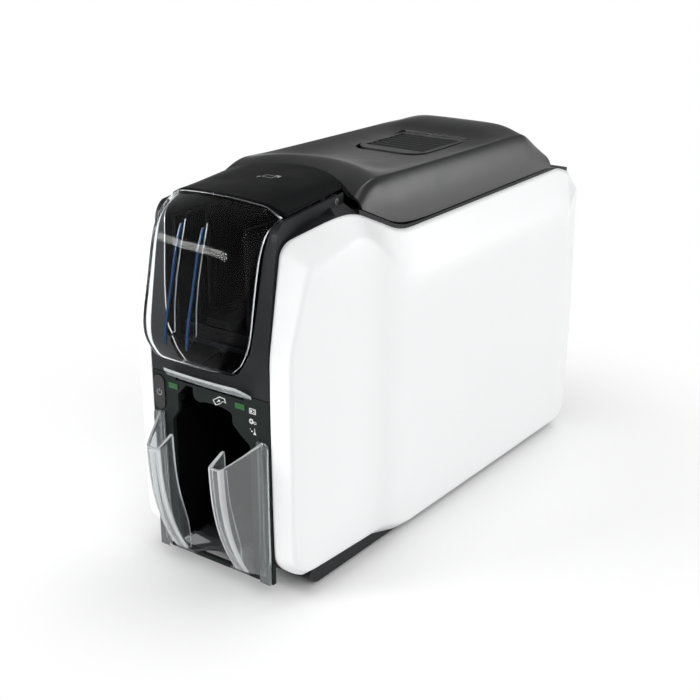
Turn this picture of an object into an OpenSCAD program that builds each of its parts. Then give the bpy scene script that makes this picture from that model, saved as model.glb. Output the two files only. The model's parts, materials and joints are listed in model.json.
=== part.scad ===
// Id card printer: a narrow upright body between two white side panels, with a card hopper
// behind a clear window, an open output bin below it and a hinged lid over the print works.
// Local axes: x to the right seen from the front, y from the front frame's face to the rear,
// z up from the surface the printer stands on. place() moves the body over its own centre.

/* [Body] */
// Width over the two side panels
body_w = 150; // [144:1:160]
// Depth from the front frame's face to the rear of the side panels
body_d = 372; // [368:1:380]
// Width of the front frame between the side panels
front_w = 99; // [98:0.5:100]
// Half width of the opening between the top edges of the side panels
top_half = 62; // [61:0.5:64]
// Wall thickness of the moulded covers
wall = 2.5; // [2:0.1:3]
// How far the hopper window stands out in front of the frame
window_out = 28; // [24:1:32]

/* [Feet and base] */
// Height of the rubber feet
foot_h = 3; // [2:0.5:4]
// Radius of the rubber feet
foot_r = 7; // [5:0.5:9]
// Thickness of the base pan's floor
base_t = 3; // [2:0.5:4]
// Gap between the base pan and the side panels' lower edges
base_gap = 0.6; // [0.4:0.1:0.9]

/* [Cards] */
// Width of a card
card_w = 54; // [54:0.5:55]
// Length of a card
card_l = 86; // [85:0.5:86]
// Room at each side of a card
card_room = 0.8; // [0.5:0.1:1]
// Height of the card path through the print works
path_z = 148; // [146:0.5:150]
// Height at which the lowest card lies in the hopper
stack_z = 166; // [165:0.5:168]
// Travel of the card weight above the hopper floor
weight_travel = 70; // [50:1:74]

/* [Covers] */
// Height of the hopper door's top at its rear
door_z = 262; // [261:0.5:263]
// Height of the hopper door's pivot
door_pivot_z = 251; // [250:0.5:252]
// Distance of the hopper door's pivot behind the front face
door_pivot_y = 70; // [68:0.5:72]
// Height of the lid's pivot
lid_pivot_z = 231; // [230:0.5:232]
// Distance of the lid's pivot in front of the side panels' rear
lid_pivot_in = 38; // [36:0.5:40]
// Radius of the hinge pins
pin_r = 2; // [1.5:0.1:2.2]
// Radial running clearance in bores
run_gap = 0.08; // [0.05:0.01:0.1]
// Travel of the lid's release button
release_travel = 4; // [3:0.5:4.5]
// Travel of the power button
button_travel = 1.2; // [0.8:0.1:1.6]

/* [Print works] */
// Distance between the outer faces of the two chassis plates
chassis_w = 95; // [94:0.5:96]
// Thickness of the chassis plates
chassis_t = 1.5; // [1.2:0.1:2]
// Radius of the rollers' shafts
shaft_r = 3; // [2.5:0.1:3.2]
// Radius of the platen roller
platen_r = 7; // [6:0.5:8]
// Radius of the transport rollers
roller_r = 6; // [5.5:0.5:7]
// Radius of the pinch rollers
pinch_r = 5; // [4.5:0.5:5.5]
// Radius of the pick roller under the card stack
pick_r = 8; // [7:0.5:8.5]
// Distance of the platen behind the front face
platen_y = 205; // [203:1:207]
// Radius of the full ribbon roll
ribbon_r = 14; // [10:0.5:15]
// Radius of the ribbon cores
core_r = 6.5; // [6:0.5:8]

/* [Hidden] */

half_w = body_w / 2;
front_half = front_w / 2;
face_y = (body_d - window_out) / 2;
eps = 0.01;

// Shared heights and places
lid_pivot_y = body_d - lid_pivot_in;
base_z = foot_h;
floor_z = base_z + base_t;
split_z = 139.5;
frame_seam = 0.6;

module place() { translate([0, -face_y, 0]) children(); }

// ---------- curves ----------
function lerp(a, b, t) = a + (b - a) * t;
function ease(t) = let (u = max(0, min(1, t))) u * u * (3 - 2 * u);
function unit(v) = v / norm(v);

// Points of the arc that rounds corner b between a and c with radius r
function fillet(a, b, c, r, n) =
    let (u = unit(a - b), v = unit(c - b), half = acos(u * v) / 2,
         m = b + unit(u + v) * (r / sin(half)),
         s = b + u * (r / tan(half)) - m,
         turn = (180 - 2 * half) * (cross(u, v) > 0 ? -1 : 1))
    [for (i = [0:n]) let (q = turn * i / n)
        m + [s[0] * cos(q) - s[1] * sin(q), s[0] * sin(q) + s[1] * cos(q)]];

// Corner points p, each rounded by its radius in r
function rounded(p, r, n) =
    [for (i = [0:len(p) - 1]) each (r[i] == 0 ? [p[i]] :
        fillet(p[(i + len(p) - 1) % len(p)], p[i], p[(i + 1) % len(p)], r[i], n))];

// ---------- skins ----------
function quad(a, b, c, d) = [[a, b, c], [a, c, d]];
function ring_faces(rows, n) =
    [for (i = [0:rows - 2], j = [0:n - 1]) let (k = (j + 1) % n)
        each quad(i * n + j, i * n + k, (i + 1) * n + k, (i + 1) * n + j)];

// Solid through closed rows of points with a flat cap on the first and the last row
module skin(rows) {
    n = len(rows[0]);
    last = (len(rows) - 1) * n;
    polyhedron(
        points = [for (row = rows) each row],
        faces = concat([[for (j = [n - 1:-1:0]) j]], ring_faces(len(rows), n),
                       [[for (j = [0:n - 1]) last + j]]));
}

// Wall through rows of points: each row runs out along one face and back along the other
module wall_skin(rows) {
    n = len(rows[0]);
    m = n / 2;
    last = (len(rows) - 1) * n;
    first_cap = [for (j = [0:m - 2]) each quad(j, j + 1, n - 2 - j, n - 1 - j)];
    last_cap = [for (j = [0:m - 2])
        each quad(last + j + 1, last + j, last + n - 1 - j, last + n - 2 - j)];
    polyhedron(
        points = [for (row = rows) each row],
        faces = concat(first_cap, [for (f = ring_faces(len(rows), n)) back(f)], last_cap));
}
function back(list) = [for (i = [len(list) - 1:-1:0]) list[i]];

// Flat shape drawn in y and z, as thick as t to the right of x
module slab_x(x, t) {
    translate([x, 0, 0]) rotate([90, 0, 90]) linear_extrude(t) children();
}
// Flat shape drawn in x and z, from y to y + t
module slab_y(y, t) {
    translate([0, y + t, 0]) rotate([90, 0, 0]) linear_extrude(t) children();
}
module box(a, b) { translate(a) cube(b - a); }
module bar_x(r, x0, x1, y, z) {
    translate([x0, y, z]) rotate([0, 90, 0]) cylinder(r = r, h = x1 - x0, $fn = 48);
}
module bar_y(r, y0, y1, x, z) {
    translate([x, y0, z]) rotate([-90, 0, 0]) cylinder(r = r, h = y1 - y0, $fn = 48);
}
module bar_z(r, z0, z1, x, y) { translate([x, y, z0]) cylinder(r = r, h = z1 - z0, $fn = 48); }
module both() { children(); mirror([1, 0, 0]) children(); }

// Coil of round wire along z, as one unbroken tube
module coil(r, wire, turns, h) {
    steps = 14;
    sides = 6;
    skin([for (i = [0:turns * steps]) let (a = i * 360 / steps, z = h * i / (turns * steps))
        [for (j = [0:sides - 1]) let (q = r + wire * cos(j * 360 / sides))
            [q * cos(a), q * sin(a), z + wire * sin(j * 360 / sides)]]]);
}

// ---------- side panels ----------
panel_low = base_z + 0.5;
panel_front_low = 16;
panel_front_top = 244;
panel_shoulder = 236;
panel_peak = 250;
panel_valley = 223;
rear_bulge = 9;

panel_corners = [
    [1, panel_front_low], [0, 120], [0.5, 168], [12.5, panel_shoulder], [62, panel_peak],
    [123, panel_valley], [body_d - 30, panel_valley + 3], [body_d - 7, panel_valley - 4], [body_d + 1, 110],
    [body_d - rear_bulge, panel_low], [121, panel_low], [88, 13]
];
panel_radii = [18, 0, 110, 13, 60, 60, 40, 12, 260, 16, 40, 40];
panel_outline = rounded(panel_corners, panel_radii, 5);

flare = 11.5;
flare_y = 62;
spine_z = 125;
function face_x(y) = half_w - flare * pow(max(0, 1 - y / flare_y), 2)
    - 2 * pow(max(0, (y - body_d + 40) / 40), 2);
function spine(p) = [max(110, min(body_d - 72, p[0])), spine_z];
function inward(p) = unit(spine(p) - p);
function edge_x(p) = lerp(front_half + frame_seam, top_half,
    ease(p[1] > 200 ? (p[0] - 8) / 50 : (p[0] - 1) / 14));
// Width of the slanted band round the panel's face
function top_band(y) = lerp(12, 25, ease((y - 50) / 70)) * ease((y - 4) / 14) + 3;
function band(p) = p[1] < 60 ? lerp(3, 9, ease(p[0] / 30)) :
    p[0] < 8 ? 3 :
    p[0] > body_d - 10 ? 10 : top_band(p[0]);
function crease(p) = p + inward(p) * band(p);
function crease_drop(p) = lerp(0.8, 2.2, ease(p[0] / 30));
function toward(p, t) = lerp(crease(p), spine(p), t);
function at_x(x, p) = [x, p[0], p[1]];
function panel_row(t, drop, in) =
    [for (p = panel_outline) let (q = toward(p, t)) at_x(face_x(q[0]) - drop - in, q)];

module side_panel() {
    t1 = 0.12;
    t2 = 0.32;
    t3 = 0.6;
    outer = [
        [for (p = panel_outline) at_x(half_w, toward(p, t3))],
        panel_row(t2, 0.15, 0),
        panel_row(t1, 0.7, 0),
        [for (p = panel_outline) let (q = crease(p)) at_x(face_x(q[0]) - crease_drop(p), q)],
        [for (p = panel_outline) at_x(edge_x(p), p)]
    ];
    inner = [
        [for (p = panel_outline) at_x(edge_x(p), p + inward(p) * wall)],
        [for (p = panel_outline) let (q = crease(p) + inward(p) * wall)
            at_x(face_x(q[0]) - crease_drop(p) - wall, q)],
        panel_row(t1, 0.7, wall),
        panel_row(t2, 0.15, wall),
        [for (p = panel_outline) at_x(half_w - wall, toward(p, t3))]
    ];
    skin(concat(outer, inner));
}
module side_panel_right() { color("white") side_panel(); }
module side_panel_left() { color("white") mirror([1, 0, 0]) side_panel(); }

// ---------- base ----------
base_half = top_half - base_gap;
base_front = 15;
base_rear = body_d - 14;
sill_y = base_front + 14.2;
sill_z = base_z + 14;
rear_y0 = base_rear + 0.1;
hopper_in = front_half - 3;
foot_x = 40;
foot_front = 40;
foot_rear = body_d - 52;
module base_pan() {
    rim = 9;
    color("#17181a") {
        difference() {
            slab_x(-base_half, 2 * base_half) polygon(rounded(
                [[base_front, base_z + 11], [base_front + 14, base_z], [base_rear, base_z],
                 [base_rear, floor_z + rim]], [4, 10, 6, 0], 5));
            slab_x(-base_half + base_t, 2 * (base_half - base_t)) polygon(
                [[base_front + 14, floor_z], [base_rear - base_t, floor_z], [base_rear - base_t, 60],
                 [base_front + 4, 60], [base_front + 4, base_z + 11]]);
        }
    }
}
module rubber_feet() {
    color("#202020") for (x = [-foot_x, foot_x], y = [foot_front, foot_rear])
        translate([x, y, 0]) cylinder(r = foot_r, h = foot_h, $fn = 48);
}

// ---------- front frame ----------
shoulder_x = 54;
door_half = 46.5;
frame_depth = 4;
frame_top = 248.8;
seat_y = 72;
shoulder_rear = 76.7;
window_side = [[24, 149.5], [35.5, 168], [38, 190], [39.8, 217], [40.8, 230], [43.2, 241], [47, 260]];
window_radii = [12, 9, 0, 0, 0, 0, 0];
module window_hole() {
    polygon(rounded(concat(window_side, [for (p = back(window_side)) [-p[0], p[1]]]),
        concat(window_radii, back(window_radii)), 5));
}
module front_frame() {
    profile = rounded([[0, split_z], [0, 168], [11, panel_front_top], [17, frame_top],
                       [shoulder_rear, frame_top + 6.5], [shoulder_rear, split_z]], [0, 110, 14, 6, 0, 0], 5);
    color("#1b1d1f") difference() {
        intersection() {
            slab_x(-top_half, 2 * top_half) polygon(profile);
            union() {
                slab_y(-1, seat_y + 1) polygon([[-front_half, split_z], [front_half, split_z],
                    [front_half, 262], [-front_half, 262]]);
                // Shoulders, 1.2 mm below the panels' edges and 1.8 mm inside them
                both() intersection() {
                    slab_y(7, seat_y) polygon([[front_half - 1, 200], [shoulder_x, 206],
                        [shoulder_x, 234], [top_half - 1, 241.5], [top_half - 1, 243.5],
                        [front_half, frame_top], [front_half, 262], [front_half - 1, 262]]);
                    slab_x(front_half - 1, top_half) polygon(concat(
                        [for (p = panel_outline) if (p[0] < 60 && p[1] > 180) p + inward(p) * 1.2],
                        [[seat_y + 8, 262], [seat_y + 8, 180]]));
                    translate([0, 0, 190]) linear_extrude(80) polygon(concat(
                        [for (y = [6:6:seat_y + 8]) [edge_x([y, 240]) - 1.8, y]],
                        [[front_half - 1, seat_y + 8], [front_half - 1, 6]]));
                }
            }
        }
        slab_y(-2, frame_depth + 30) window_hole();
        slab_x(-hopper_in, 2 * hopper_in) polygon(rounded([
            [frame_depth, split_z - 1], [frame_depth, 168], [11 + frame_depth, panel_front_top],
            [17 + frame_depth, 280], [shoulder_rear + 1, 280], [shoulder_rear + 1, split_z - 1]],
            [0, 110, 14, 0, 0, 0], 5));
        // Room for the chassis plates
        both() box([hopper_in - 1, frame_depth, split_z - 1],
            [front_half - 1.5, shoulder_rear + 1, tray_floor_z + 2.5]);
        both() bar_x(pin_r, hopper_in - 3, front_half + 1, door_pivot_y, door_pivot_z);
    }
    // Bosses of the door's hinge pins
    color("#1b1d1f") both() difference() {
        bar_x(pin_r + 2, hopper_in - 1.5, front_half, door_pivot_y, door_pivot_z);
        bar_x(pin_r, hopper_in - 3, front_half + 1, door_pivot_y, door_pivot_z);
    }
}

// ---------- lower front ----------
plate_t = 3;
cavity_half = 33;
button_x = -43.4;
button_z = 124;
button_half = 4.6;
button_h = 24;
light_z = 131;
light_left = -31;
light_right = 26;
light_w = 8;
light_h = 4;
plate_low = base_z + 8;
module capsule(w, h) {
    square([2 * w, h - 2 * w], center = true);
    translate([0, h / 2 - w]) circle(w, $fn = 48);
    translate([0, w - h / 2]) circle(w, $fn = 48);
}
module lower_front_plate() {
    mouth = [[-cavity_half, plate_low + 3], [-cavity_half, 108], [-27.5, 114], [-27.5, 126],
             [-20, 134], [-14, 134], [-14, 123], [-4, 126.5], [12, 126.5], [19, 124], [19, 117],
             [27, 110], [cavity_half, 106], [cavity_half, plate_low + 3]];
    slot_z = split_z - 4;
    color("#3a3d3f") difference() {
        slab_y(0, plate_t) polygon([[-front_half, plate_low], [front_half, plate_low],
            [front_half, split_z - frame_seam], [-front_half, split_z - frame_seam]]);
        slab_y(-1, plate_t + 2) polygon(rounded(mouth, [0, 6, 4, 3, 0, 0, 5, 30, 30, 3, 3, 5, 3, 0], 4));
        slab_y(-1, plate_t + 2) translate([button_x, button_z])
            capsule(button_half + 0.4, button_h + 0.8);
        for (x = [light_left, light_right])
            box([x - light_w / 2, -1, light_z - light_h / 2],
                [x + light_w / 2, plate_t + 1, light_z + light_h / 2]);
        box([-29, -1, slot_z], [29, plate_t + 1, slot_z + 2]);
    }
    // Two rails behind the plate hold it to the chassis
    color("#3a3d3f") both() box([chassis_in - 3, plate_t - eps, 62], [chassis_in, chassis_front + 8, 100]);
    // Bracket that the power button's spring rests against
    color("#3a3d3f") {
        box([button_x + 6.6, plate_t - eps, 116], [button_x + 8.2, spring_seat + 2, 127.5]);
        box([button_x - 4, spring_seat, 118], [button_x + 8.2, spring_seat + 2, 127.5]);
    }
}
module manual_feed_visor() {
    lip_out = 9;
    lip_z = split_z + 5.5;
    t = 2;
    row = function (x, y, z)
        [[-x, y, z], [-x * 0.6, y - 1.2, z], [0, y - 1.6, z], [x * 0.6, y - 1.2, z], [x, y, z]];
    rows = [row(36, -0.1, split_z - 2), row(34, -4.5, split_z + 2), row(30, -lip_out, lip_z)];
    color([0.75, 0.85, 0.9, 0.5]) wall_skin([for (r = rows) concat(r,
        back([for (q = r) q + [0, 0, t]]))]);
}
module power_button() {
    color("#2c2f31") {
        slab_y(-0.8, plate_t + 2.8) translate([button_x, button_z]) capsule(button_half, button_h);
        slab_y(plate_t + 2, 2) translate([button_x, button_z]) capsule(button_half + 1.5, button_h + 3);
    }
    color("#2c2f31") bar_y(1.6, plate_t + 3, plate_t + 6, button_x, button_z);
}
spring_seat = 12;
button_wire = 0.3;
module power_button_spring() {
    start = plate_t + 4 + button_wire;
    color("silver") translate([button_x, start, button_z]) rotate([-90, 0, 0])
        coil(2.8, button_wire, 5, spring_seat - button_wire - start);
}
module status_light_guides() {
    color("#2fae3c") for (x = [light_left, light_right])
        box([x - light_w / 2 + 0.1, -0.5, light_z - light_h / 2 + 0.1],
            [x + light_w / 2 - 0.1, 7, light_z + light_h / 2 - 0.1]);
}

// ---------- output bin ----------
wing_in = 21;
wing_out = 32;
wing_top = 98;
wing_rise = 13;
bin_half = 45;
bin_low = base_z + 6;
bin_wall = 2.2;
bin_out = window_out - 0.6;
function bin_y(z) = -bin_out + bin_out * pow(1 - (z - bin_low) / (wing_top - bin_low), 2.4);
function wing_row(z, in) = let (y = bin_y(z), k = (z - bin_low) / (wing_top - bin_low),
        rise = wing_rise * ease((k - 0.8) / 0.2), return_y = min(-1, y + 15), c = 1.2) [
    [wing_in + in, return_y, z + rise * 0.5],
    [wing_in + in, y + in + c / 3, z],
    [wing_in + in + c, y + in, z],
    [wing_out - c - in / 2, y + in, z],
    [wing_out - in / 2, y + in + c / 3, z + 0.5],
    [lerp(wing_out, bin_half, 0.5) - in / 2, y * 0.5 + in * 0.4, z + rise * 0.5],
    [bin_half - in, -0.05, z + rise]];
module bin_wing() {
    heights = [plate_low + 5, 22, 30, 42, 58, 78, wing_top];
    wall_skin([for (z = heights) concat(wing_row(z, 0), back(wing_row(z, bin_wall)))]);
    // Flange against the front plate
    box([cavity_half - 3, -bin_wall, bin_low + 2], [front_half - 1, -0.05, bin_low + 14]);
    slab_y(-bin_wall, bin_wall - 0.05) polygon([[40, bin_low + 2], [front_half - 1, bin_low + 2],
        [front_half - 1, wing_top + wing_rise], [40, wing_top + wing_rise]]);
}
module output_bin() {
    floor_top = plate_low + 3;
    color([0.6, 0.66, 0.68, 0.6]) {
        both() bin_wing();
        difference() {
            box([-cavity_half + 0.4, -4, floor_top], [cavity_half - 0.4, 60, floor_top + bin_wall]);
            translate([0, -9, floor_top - 1]) cylinder(r = 17, h = 9, $fn = 64);
        }
        both() box([17, -4, floor_top], [cavity_half - 0.4, -0.05, floor_top + bin_wall]);
    }
}
well_rear = 92;
module output_well() {
    t = 2;
    h = 104;
    inner = cavity_half + 0.6;
    color("#0e0f10") difference() {
        union() {
            slab_x(-inner - t, 2 * (inner + t)) polygon([[plate_t, sill_z], [sill_y, sill_z],
                [sill_y, floor_z], [well_rear, floor_z], [well_rear, floor_z + h], [plate_t, floor_z + h]]);
            both() box([inner, sill_y, floor_z], [chassis_in, sill_y + t, 60]);
            both() box([inner, well_rear - t, floor_z], [chassis_in, well_rear, 60]);
        }
        slab_x(-inner, 2 * inner) polygon([[0, plate_low + 3], [sill_y + t, plate_low + 3],
            [sill_y + t, floor_z + t], [well_rear - t, floor_z + t], [well_rear - t, 200], [0, 200]]);
    }
}

// ---------- hopper ----------
tray_half = card_w / 2 + card_room;
tray_rear = plate_t + 2 + card_l - 14;
function door_rear(x) = 100 - 28.5 * pow(x / shoulder_x, 2);
function collar(x) = door_rear(x) + 3 + 6 * pow(x / shoulder_x, 6);
function door_front(x) = 16.8 + 7 * pow(x / door_half, 2);
door_side = [[0, 0], [15, 0.4], [28, 1.5], [36.5, 2.8], [43, 6], [door_half, 8], [door_half, 10.2]];
door_arm = door_half - wall - 4.5;
module hopper_door() {
    n = len(door_side);
    across = concat([for (i = [n - 1:-1:1]) [-door_side[i][0], door_side[i][1]]], door_side);
    door_row = function (t, in) [for (p = across) let (x = p[0])
        [x * (1 - in / door_half), lerp(door_front(x), door_rear(x), t),
         lerp(door_z - 2, door_z + 0.5, t) - p[1] * lerp(1, 0.55, t) - (abs(x) < door_half ? in : 0)]];
    color("#1c1d1f") wall_skin([for (t = [0, 0.3, 0.65, 1])
        concat(door_row(t, 0), back(door_row(t, wall)))]);
    color("#1c1d1f") both() difference() {
        union() {
            bar_x(pin_r + 2.2, door_arm, door_arm + 4, door_pivot_y, door_pivot_z);
            box([door_arm, door_pivot_y - 4.2, door_pivot_z],
                [door_arm + 4, door_pivot_y + 4.2, door_z - 4.6]);
        }
        bar_x(pin_r + run_gap, door_arm - 1, door_arm + 5, door_pivot_y, door_pivot_z);
    }
}
module door_hinge_pins() {
    color("silver") both() bar_x(pin_r, door_arm - 0.5, front_half, door_pivot_y, door_pivot_z);
}
// Rows of the window: seam x, y, z at the frame, front x, y, z, and the crown of its middle
window_rows = [
    [20, 1, 151, 19.4, -2, 151.4, 0], [27, 1, 157, 25.6, -0.75, 160, 0],
    [33.6, 1, 168, 31.6, -0.87, 170, 0], [36, 1.4, 180, 33.6, -0.84, 180, 0],
    [37, 2, 190, 34, -0.76, 190, 0], [38, 3.4, 204, 34.4, -0.62, 204, 0],
    [38.8, 5.2, 217, 34.9, -0.49, 218, 0], [39.8, 7.2, 230, 35.4, -0.37, 231, 0],
    [42.2, 9.8, 241, 36, -0.2, 242.5, 0], [44.4, 14, 247.4, 36.5, 6, 252, 2],
    [46, 21, 250.4, 36.8, 18.4, 256.6, 3.2]
];
function window_front(r) = r[4] < 0 && r[4] >= -1 ? r[4] * window_out : r[4];
function window_half(r, in) = let (fy = window_front(r) + in, edge = r[4] > 0 ? 0 : 2,
        xf = r[3] - in * 0.7, xr = r[0] - in * 0.9, drop = r[5] > 250 ? in : 0, zf = r[5] - drop) [
    [xr, r[1], r[2] - drop],
    [lerp(xr, xf, 0.5), lerp(r[1], fy - in, 0.5) + in * 0.6, lerp(r[2], r[5], 0.5) - drop],
    [xf, fy + edge, zf - 0.4],
    [xf - 3, fy - r[6] * 0.15, zf + r[6] * 0.15],
    [xf / 2, fy - 0.6 - r[6] * 0.75, zf + r[6] * 0.75],
    [0, fy - 0.8 - r[6], zf + r[6]]];
function window_row(r, in) = let (half = window_half(r, in), n = len(half)) concat(
    [for (p = half) [-p[0], p[1], p[2]]], [for (i = [n - 2:-1:0]) half[i]]);
window_t = 2;
module hopper_window() {
    color([0.7, 0.8, 0.85, 0.4]) wall_skin([for (r = window_rows)
        concat(window_row(r, 0), back(window_row(r, window_t)))]);
}
rib_x = [-14, 4];
rib_w = 1.6;
module window_guide_ribs() {
    color([0.3, 0.45, 0.75, 0.6]) for (x = rib_x)
        slab_x(x - rib_w / 2, rib_w) polygon([
            for (i = [2:9]) let (r = window_rows[i]) [window_front(r) + window_t, r[5]],
            for (t = [0:0.25:1]) [lerp(1, -13, sin(t * 90)), lerp(244.5, 176, t)]]);
}
tray_floor_z = stack_z - 3;
tray_wall_top = 235.5;
weight_t = 8;
weight_gap = 0.5;
post_w = 6;
module hopper_tray() {
    hole = 9;
    base_half_w = hopper_in - 0.3;
    color("#2b2d2f") difference() {
        union() {
            box([-base_half_w, 6, tray_floor_z], [base_half_w, tray_rear + 3, stack_z]);
            both() box([tray_half, 6, tray_floor_z], [tray_half + 3, tray_rear, tray_wall_top + 8]);
            box([-tray_half - 3, tray_rear - eps, stack_z], [tray_half + 3, tray_rear + 3, tray_wall_top]);
        }
        // Slot for the lowest card, window for the pick roller, and guides of the card weight
        box([-tray_half, tray_rear - 1, stack_z], [tray_half, tray_rear + 4, stack_z + 1.4]);
        box([-18, 55 - hole, tray_floor_z - 1], [18, 55 + hole, stack_z + 1]);
        both() box([tray_half - 1, 34 - weight_gap, stack_z + 4],
            [tray_half + 4, 40 + weight_gap, tray_wall_top + 9]);
    }
    color("#2b2d2f") both()
        box([chassis_in - post_w, 20, tray_floor_z - 8], [chassis_in, 46, tray_floor_z + eps]);
}
module card_weight() {
    z0 = stack_z + 0.1;
    color("#333537") difference() {
        union() {
            box([-tray_half + 0.6, 10, z0], [tray_half - 0.6, tray_rear - 1, z0 + weight_t]);
            both() box([tray_half - 1, 34, z0 + 4], [tray_half + 5, 40, z0 + weight_t]);
            box([-10, 12, z0 + weight_t], [10, 26, z0 + weight_t + 5]);
        }
        box([-22, 30, z0 + 3], [22, tray_rear - 8, z0 + weight_t + 1]);
    }
}
chute_front = plate_t + 2;
chute_z0 = 127.5;
module card_chute() {
    inner = tray_half;
    drop = path_z - 4;
    t = 2;
    color("#242628") {
        slab_x(-inner, 2 * inner) polygon([[chute_front + 12, chute_z0 - t], [well_rear + 20, drop - t],
            [well_rear + 20, drop], [chute_front + 12, chute_z0]]);
        both() slab_x(inner - eps, 3) polygon([[chute_front + 8, chute_z0 - t], [well_rear + 20, drop - t],
            [well_rear + 20, drop + 8], [chute_front + 8, chute_z0 + 8]]);
        both() box([inner, 20, floor_z + 104], [chassis_in, 60, floor_z + 106.5]);
        both() box([inner, 20, floor_z + 105], [inner + 2, 60, chute_z0 + 4]);
    }
}

// ---------- lid ----------
// Rows over the lid: distance behind its front, or before the pivot where negative, share of the
// arch, top z, shoulder z, blend of the inner slope
lid_rows = [
    [0, 1, 259.2, 253, 0], [8, 1, 262.5, 257.5, 0], [20, 1, 265, 261, 0], [28, 0.9, 262, 260.5, 0.4],
    [40, 0.7, 258, 260, 0.8], [58, 0.4, 256.6, 259.8, 1], [85, 0.1, 256.2, 259.6, 1],
    [-106, 0, 256.2, 259.4, 1], [-72, 0, 256.2, 259.3, 1], [-62, 0, 264, 259.2, 0],
    [-40, 0, 265.6, 258.6, 0], [-33, 0, 263, 257, 0.2], [-21, 0, 254, 249, 0.4],
    [-9, 0, 245.2, 241.7, 0.5], [-1, 0, 239.8, 237.2, 0.5]
];
lid_start = collar(0);
lid_shoulder = 54.5;
lid_low_gap = 2;
function panel_top(y) = lookup(y, [[60, panel_peak - 1], [78, 244.5], [99, 235], [112, 229], [122, 225.3],
    [132, 223.8], [150, 223.4], [250, 225], [body_d - 42, 226.2], [body_d, 220]]);
function row_y(r) = r[0] < 0 ? lid_pivot_y + r[0] : lid_start + r[0];
function lid_y(r, x) = row_y(r) + r[1] * (collar(x) - lid_start);
function lid_bottom(y) = max(panel_top(y) + lid_low_gap, y < 200 ? 0 : lid_pivot_z - 4.5);
function lid_half(r) = let (low = lid_bottom(lid_y(r, shoulder_x)), sh = r[3], mid = lerp(sh, r[2], 0.6)) [
    [0, r[2] + 0.1],
    [20, r[2]],
    [37, r[2] - 0.3],
    [lid_shoulder - 6, lerp(sh, mid, 0.4)],
    [lid_shoulder, sh],
    [lid_shoulder + 3, lerp(low, sh, 0.84)],
    [top_half - 1.8, lerp(low, sh, 0.45)],
    [top_half - 0.4, low]];
function lid_row(r, in) = let (half = lid_half(r), n = len(half)) [
    for (p = concat([for (i = [n - 1:-1:1]) [-half[i][0], half[i][1]]], half))
    let (x = p[0], drop = abs(x) < lid_shoulder + 0.1 ? in : abs(x) < lid_shoulder + 4 ? in * 0.4 : 0)
        [x * (1 - in / top_half), lid_y(r, max(-shoulder_x, min(shoulder_x, x))), p[1] - drop]];

release_half = 29;
release_front = lid_pivot_y - 140;
release_rear = lid_pivot_y - 74;
release_top = 256.6;
release_gap = 1;
pocket_z = 248;
knuckle_half = 40;
knuckle_r = 5;
latch_pivot_y = 150;
latch_pivot_z = 232;
latch_half = 20;
module release_shape(grow) {
    x = release_half + grow;
    polygon(rounded([[-x, release_rear + grow], [-x, release_front - grow],
        [x, release_front - grow], [x, release_rear + grow]], [2, 14, 14, 2], 6));
}
module lid_cover() {
    front_room = release_travel + release_gap;
    color("#1d1e20") difference() {
        union() {
            wall_skin([for (r = lid_rows) concat(lid_row(r, 0), back(lid_row(r, wall)))]);
            // Lug that the release spring rests against
            box([-5, release_front - 7, pocket_z - 8.5], [5, lug_y, pocket_z - 1.5]);
            // Well under the release button
            box([-release_half - 4, release_front - front_room - 3, pocket_z - 2],
                [release_half + 4, release_rear + 4, 254.6]);
        }
        translate([0, 0, pocket_z]) linear_extrude(30) polygon(rounded([
            [-release_half - release_gap, release_rear + release_gap],
            [-release_half - release_gap, release_front - front_room],
            [release_half + release_gap, release_front - front_room],
            [release_half + release_gap, release_rear + release_gap]], [2, 15, 15, 2], 6));
        box([-12, release_front + 4, pocket_z - 3], [12, release_front + 28, pocket_z + 1]);
    }
    color("#1d1e20") difference() {
        union() {
            // Hinge knuckles at the rear
            both() bar_x(knuckle_r, 20, knuckle_half, lid_pivot_y, lid_pivot_z);
            both() slab_x(20, knuckle_half - 20) polygon([[lid_pivot_y - 5, lid_pivot_z],
                [lid_pivot_y - 18, 244], [lid_pivot_y - 12, 244.5], [lid_pivot_y - 4, lid_pivot_z + 4]]);
            // Lugs for the latch pin
            both() slab_x(latch_half, 4) polygon([[latch_pivot_y - 5, latch_pivot_z],
                [latch_pivot_y - 5, 254.6], [latch_pivot_y + 5, 254.6], [latch_pivot_y + 5, latch_pivot_z]]);
            both() bar_x(5, latch_half, latch_half + 4, latch_pivot_y, latch_pivot_z);
        }
        both() bar_x(pin_r + run_gap, 19, knuckle_half + 1, lid_pivot_y, lid_pivot_z);
        both() bar_x(pin_r, latch_half - 1, latch_half + 5, latch_pivot_y, latch_pivot_z);
    }
}
rib_count = 7;
tongue_y = release_front + 9;
lug_y = release_front - 5;
release_wire = 0.25;
rod_z = 243.2;
module lid_release_button() {
    z0 = pocket_z + 0.2;
    pitch = (release_rear - release_front - 16) / rib_count;
    color("#202224") {
        difference() {
            translate([0, 0, z0]) linear_extrude(release_top - z0) release_shape(0);
            for (i = [0:rib_count - 1])
                translate([0, release_front + 10 + pitch * (i + 0.5), release_top + 3.2])
                    rotate([0, 90, 0])
                    cylinder(r = 4.6, h = 2 * release_half - 8, center = true, $fn = 64);
        }
        // Tongue through the slot in the well, and the two rods that push the latch hook
        box([-11, tongue_y, pocket_z - 8], [11, tongue_y + 3, z0 + 1]);
        both() box([7, latch_pivot_y + 3.1, rod_z], [11, tongue_y + 1, rod_z + 1.6]);
    }
}
module release_spring() {
    color("silver") translate([0, lug_y + release_wire, pocket_z - 5.2]) rotate([-90, 0, 0])
        coil(2, release_wire, 5, tongue_y - lug_y - 2 * release_wire);
}
hook_low = 216;
catch_y = latch_pivot_y - 6;
catch_z = hook_low + 3.2;
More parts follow.
